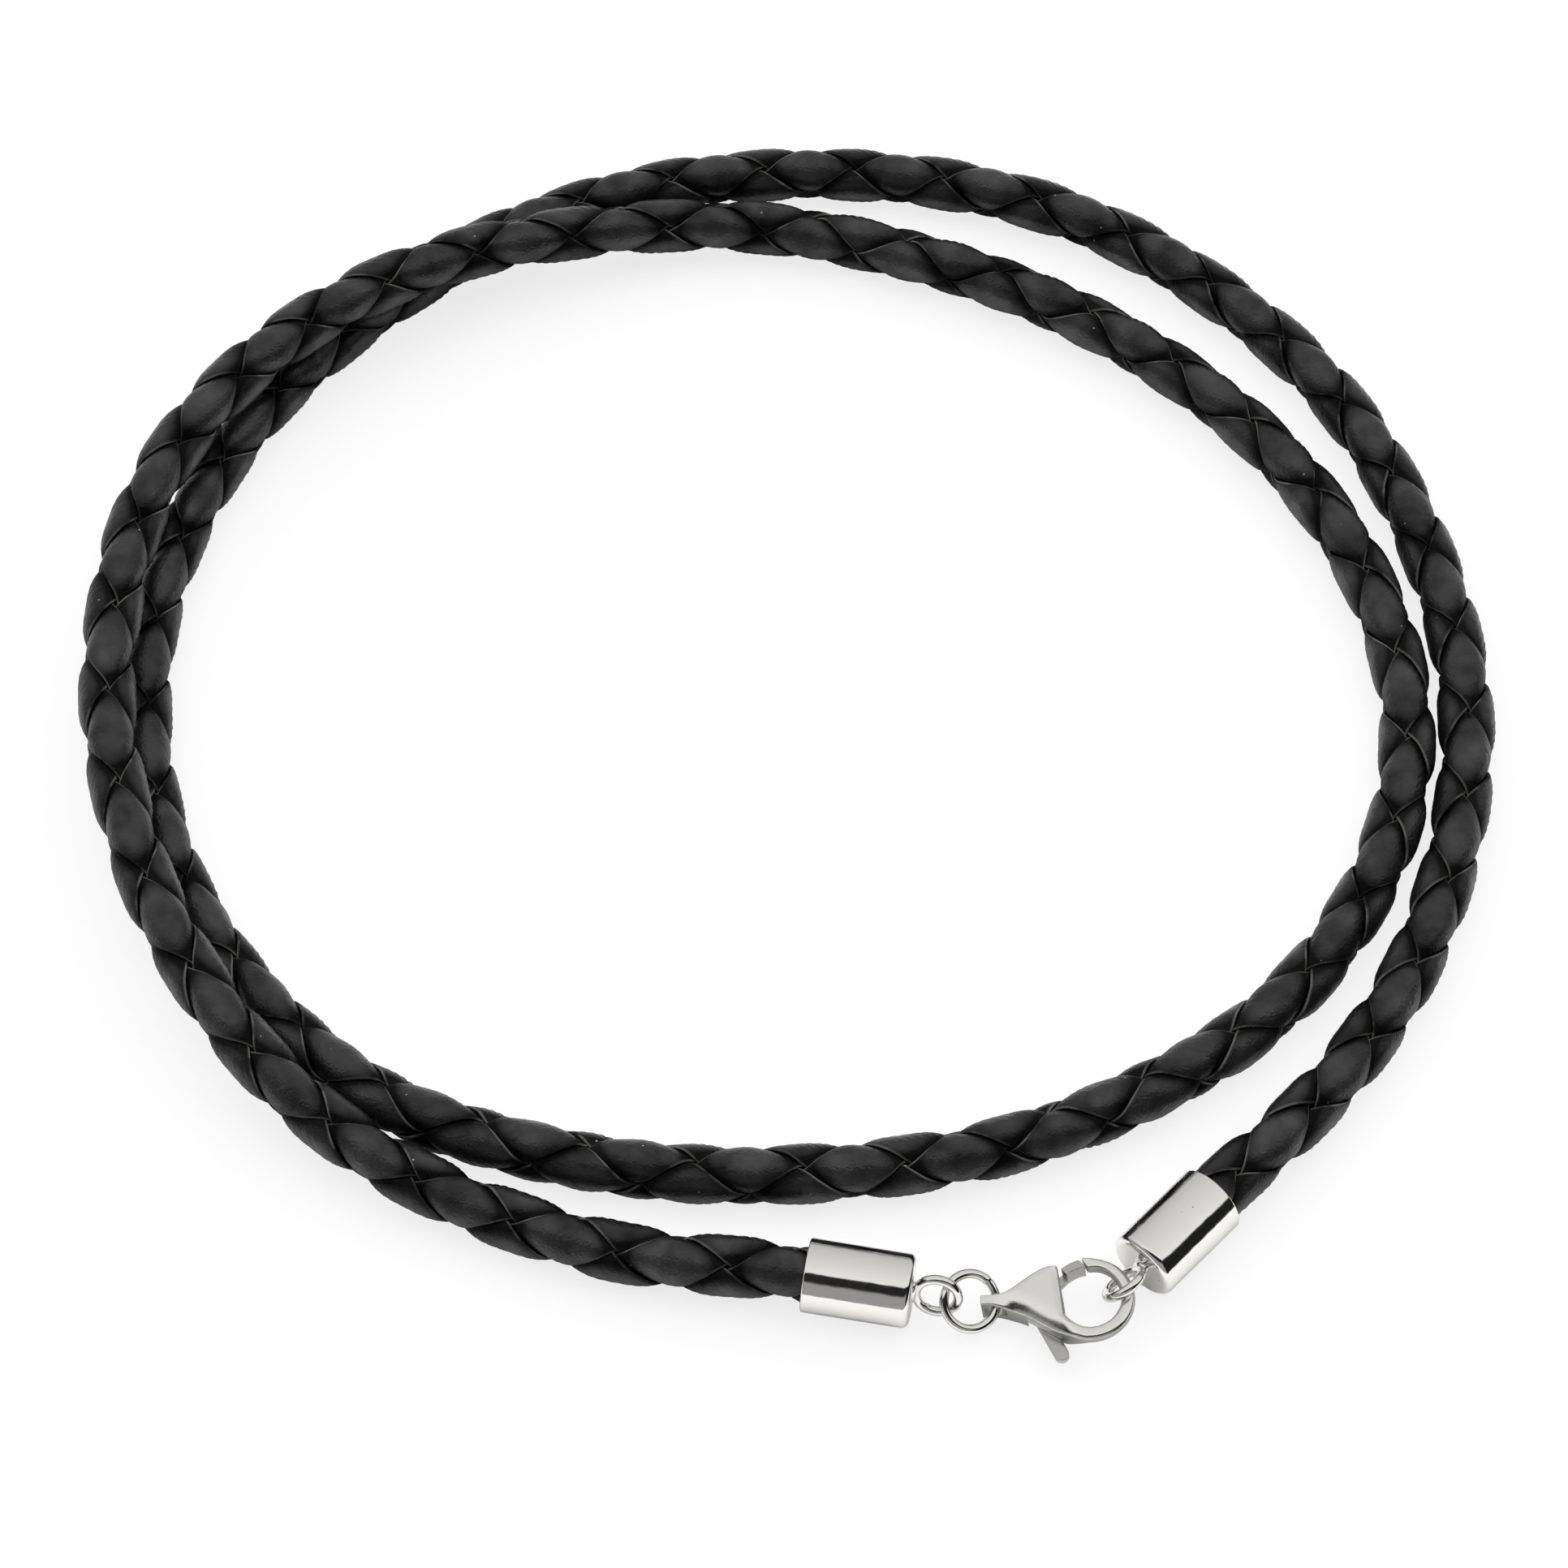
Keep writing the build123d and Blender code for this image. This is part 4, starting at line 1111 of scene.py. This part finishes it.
class NECKLACE_OT_jump_ring(bpy.types.Operator):
    """Build the soldered jump ring between left cap and clasp"""
    bl_idname = "necklace.jump_ring"
    bl_label = "Jump ring"

    def execute(self, context):
        scene = context.scene
        ring, fastening = scene.necklace_ring, Fastening(scene)
        segments, sides = FACES["jump_ring"]
        u = np.arange(segments) * 2 * np.pi / segments
        off_seam = (u - ring.seam_angle) * ring.diameter / 2 / ring.seam_width
        swell = 1 + ring.seam_rise / (ring.wire / 2) * np.exp(-(off_seam * 2) ** 2)
        points, quads = ring_surface(ring.diameter / 2, ring.wire / 2, segments, sides, swell)
        points = laid(points, fastening.ring_centre, fastening.ring_x, fastening.ring_z)
        stage = scene.necklace_stage
        silver = silver_material("polished_sterling_silver", stage, stage.silver_colour)
        place_piece("jump_ring", mesh_of("jump_ring", points, quads), silver, "silver")
        return {"FINISHED"}


class NECKLACE_OT_clasp_body(bpy.types.Operator):
    """Build the body, hook, eye and rivet of the trigger clasp"""
    bl_idname = "necklace.clasp_body"
    bl_label = "Clasp body"

    def execute(self, context):
        scene = context.scene
        stage = scene.necklace_stage
        # Steep walls get matt silver with a greyer colour that is painted shade
        mesh = mark_steep_walls(clasp_body_mesh(scene), Fastening(scene).clasp_z)
        silver = silver_material("buffed_sterling_silver", stage, stage.silver_colour)
        place_piece("clasp_body", mesh, silver, "silver")
        return {"FINISHED"}


class NECKLACE_OT_clasp_lever(bpy.types.Operator):
    """Build the sprung lever of the clasp with its gate and thumb tab"""
    bl_idname = "necklace.clasp_lever"
    bl_label = "Clasp lever"

    def execute(self, context):
        scene = context.scene
        stage = scene.necklace_stage
        silver = silver_material("tumbled_sterling_silver", stage, stage.lever_colour)
        place_piece("clasp_lever", lever_mesh(scene), silver, "silver", LEVER)
        return {"FINISHED"}


def studio_world(scene):
    """Studio round the necklace, in shares of white by the direction of a ray. Glossy rays see a
    soft box overhead, tilted about X and dimmer along its depth, and round it a room that is dim
    low down and nearly black above, with a flag at the right. All other rays see a brighter box
    and a dimmer room, which lights the matt leather and the floor."""
    world = bpy.data.worlds.new("studio")
    scene.world = world
    world.use_nodes = True
    world.cycles.sampling_method = "NONE"    # the light is broad, and needs no map of its own
    world.node_tree.nodes.clear()
    add = functools.partial(add_node, world.node_tree)
    ray = add("TexCoord.Generated")
    tilted = add("VectorRotate.Vector", {"Vector": ray, "Angle": BOX_TILT}, rotation_type="X_AXIS")
    tilted = add("SeparateXYZ", (tilted,)).outputs
    ray = add("SeparateXYZ", (ray,)).outputs
    height = add("Math.Value", (tilted["Z"], 0.001), operation="MAXIMUM")
    masks = []
    for axis, half_width, blur in BOX_SIDES:
        ratio = add("Math.Value", (tilted[axis], height), operation="DIVIDE")
        away = add("Math.Value", (ratio,), operation="ABSOLUTE")
        mask = (away, half_width - blur, half_width + blur, 1.0, 0.0)
        masks.append(add("MapRange.Result", mask))
    softbox = add("Math.Value", masks, operation="MULTIPLY")
    depth = add("MapRange.Result", (ratio, *BOX_FADE))
    rise = add("MapRange.Result", (ray["Z"], *ROOM_FADE))
    flag = add("MapRange.Result", (ray["X"], *FLAG_FADE))
    room = add("Math.Value", (rise, flag), operation="MULTIPLY")
    mirrored = add("Mix.Result", {"Factor": softbox, "A": room, "B": depth}, data_type="FLOAT")
    fill = add("Math.Value", (softbox, BOX_FILL), operation="MULTIPLY")
    cast = add("Math.Value", (room, ROOM_FILL, fill), operation="MULTIPLY_ADD")
    glossy = add("LightPath.Is Glossy Ray")
    light = add("Mix.Result", {"Factor": glossy, "A": cast, "B": mirrored}, data_type="FLOAT")
    background = add("Background.Background", {"Color": WHITE, "Strength": light})
    add("OutputWorld", {"Surface": background})


def paper_material(stage):
    """Bleached paper, lit through from below: matt, even and free of texture. The camera sees its
    white glow over a share of its own diffuse face, and all other rays see the face alone."""
    material, add = new_material("white_backlit_paper")
    face = add("BsdfDiffuse.BSDF", {"Color": (*stage.floor_colour, 1.0)})
    glow = add("Emission.Emission", {"Color": WHITE})
    camera_ray = add("LightPath.Is Camera Ray")
    seen = add("Math.Value", (camera_ray, stage.floor_glow), operation="MULTIPLY")
    add("OutputMaterial", {"Surface": add("MixShader.Shader", (seen, face, glow))})
    return material


class NECKLACE_OT_stage(bpy.types.Operator):
    """Set up the pale floor, the studio light and the camera"""
    bl_idname = "necklace.stage"
    bl_label = "Stage"

    def execute(self, context):
        scene = context.scene
        stage = scene.necklace_stage
        half = stage.floor_width / 2
        corners = half * np.array([(-1, -1, 0), (1, -1, 0), (1, 1, 0), (-1, 1, 0)])
        mesh = mesh_of("floor", corners, np.array([[0, 1, 2, 3]]))
        mesh.materials.append(paper_material(stage))
        floor = bpy.data.objects.new("floor", mesh)
        scene.collection.objects.link(floor)
        studio_world(scene)
        scene.view_settings.view_transform = "Standard"
        camera_data = bpy.data.cameras.new("camera")
        camera_data.lens = stage.lens
        camera_data.sensor_width = 36.0
        camera_data.clip_end = 10.0
        camera = bpy.data.objects.new("camera", camera_data)
        aim = Vector((stage.aim_x, stage.aim_y, stage.aim_z))
        away = Vector((0.0, -math.cos(stage.elevation), math.sin(stage.elevation)))
        camera.location = aim + away * stage.distance
        camera.rotation_euler = (math.pi / 2 - stage.elevation, 0.0, 0.0)
        scene.collection.objects.link(camera)
        scene.camera = camera
        return {"FINISHED"}


class NECKLACE_PT_panel(bpy.types.Panel):
    """Sidebar panel that lists the necklace's pieces and sizes"""
    bl_label = "Necklace"
    bl_space_type = "VIEW_3D"
    bl_region_type = "UI"
    bl_category = "Necklace"

    def draw(self, context):
        for operator in OPERATORS:
            self.layout.operator(operator.bl_idname)
        for name, group in GROUPS.items():
            box = self.layout.box()
            box.label(text=group.__doc__)
            values = getattr(context.scene, name)
            for key in group.__annotations__:
                box.prop(values, key)


GROUPS = {
    "necklace_cord": NECKLACE_PG_cord,
    "necklace_caps": NECKLACE_PG_caps,
    "necklace_ring": NECKLACE_PG_ring,
    "necklace_clasp": NECKLACE_PG_clasp,
    "necklace_lever": NECKLACE_PG_lever,
    "necklace_place": NECKLACE_PG_place,
    "necklace_stage": NECKLACE_PG_stage,
}
OPERATORS = (
    NECKLACE_OT_stage,
    NECKLACE_OT_laces,
    NECKLACE_OT_caps,
    NECKLACE_OT_jump_ring,
    NECKLACE_OT_clasp_body,
    NECKLACE_OT_clasp_lever,
)
CLASSES = (*GROUPS.values(), *OPERATORS, NECKLACE_PT_panel)


def register():
    """Register every class and hang the property groups on the scene."""
    for item in CLASSES:
        bpy.utils.register_class(item)
    for name, group in GROUPS.items():
        setattr(bpy.types.Scene, name, bpy.props.PointerProperty(type=group))


def unregister():
    """Take the property groups off the scene and unregister every class."""
    for name in GROUPS:
        delattr(bpy.types.Scene, name)
    for item in reversed(CLASSES):
        bpy.utils.unregister_class(item)


def main():
    """Register the classes, then build the stage and every piece."""
    register()
    bpy.ops.necklace.stage()
    bpy.ops.necklace.laces()
    bpy.ops.necklace.caps()
    bpy.ops.necklace.jump_ring()
    bpy.ops.necklace.clasp_body()
    bpy.ops.necklace.clasp_lever()


if __name__ == "__main__":
    main()
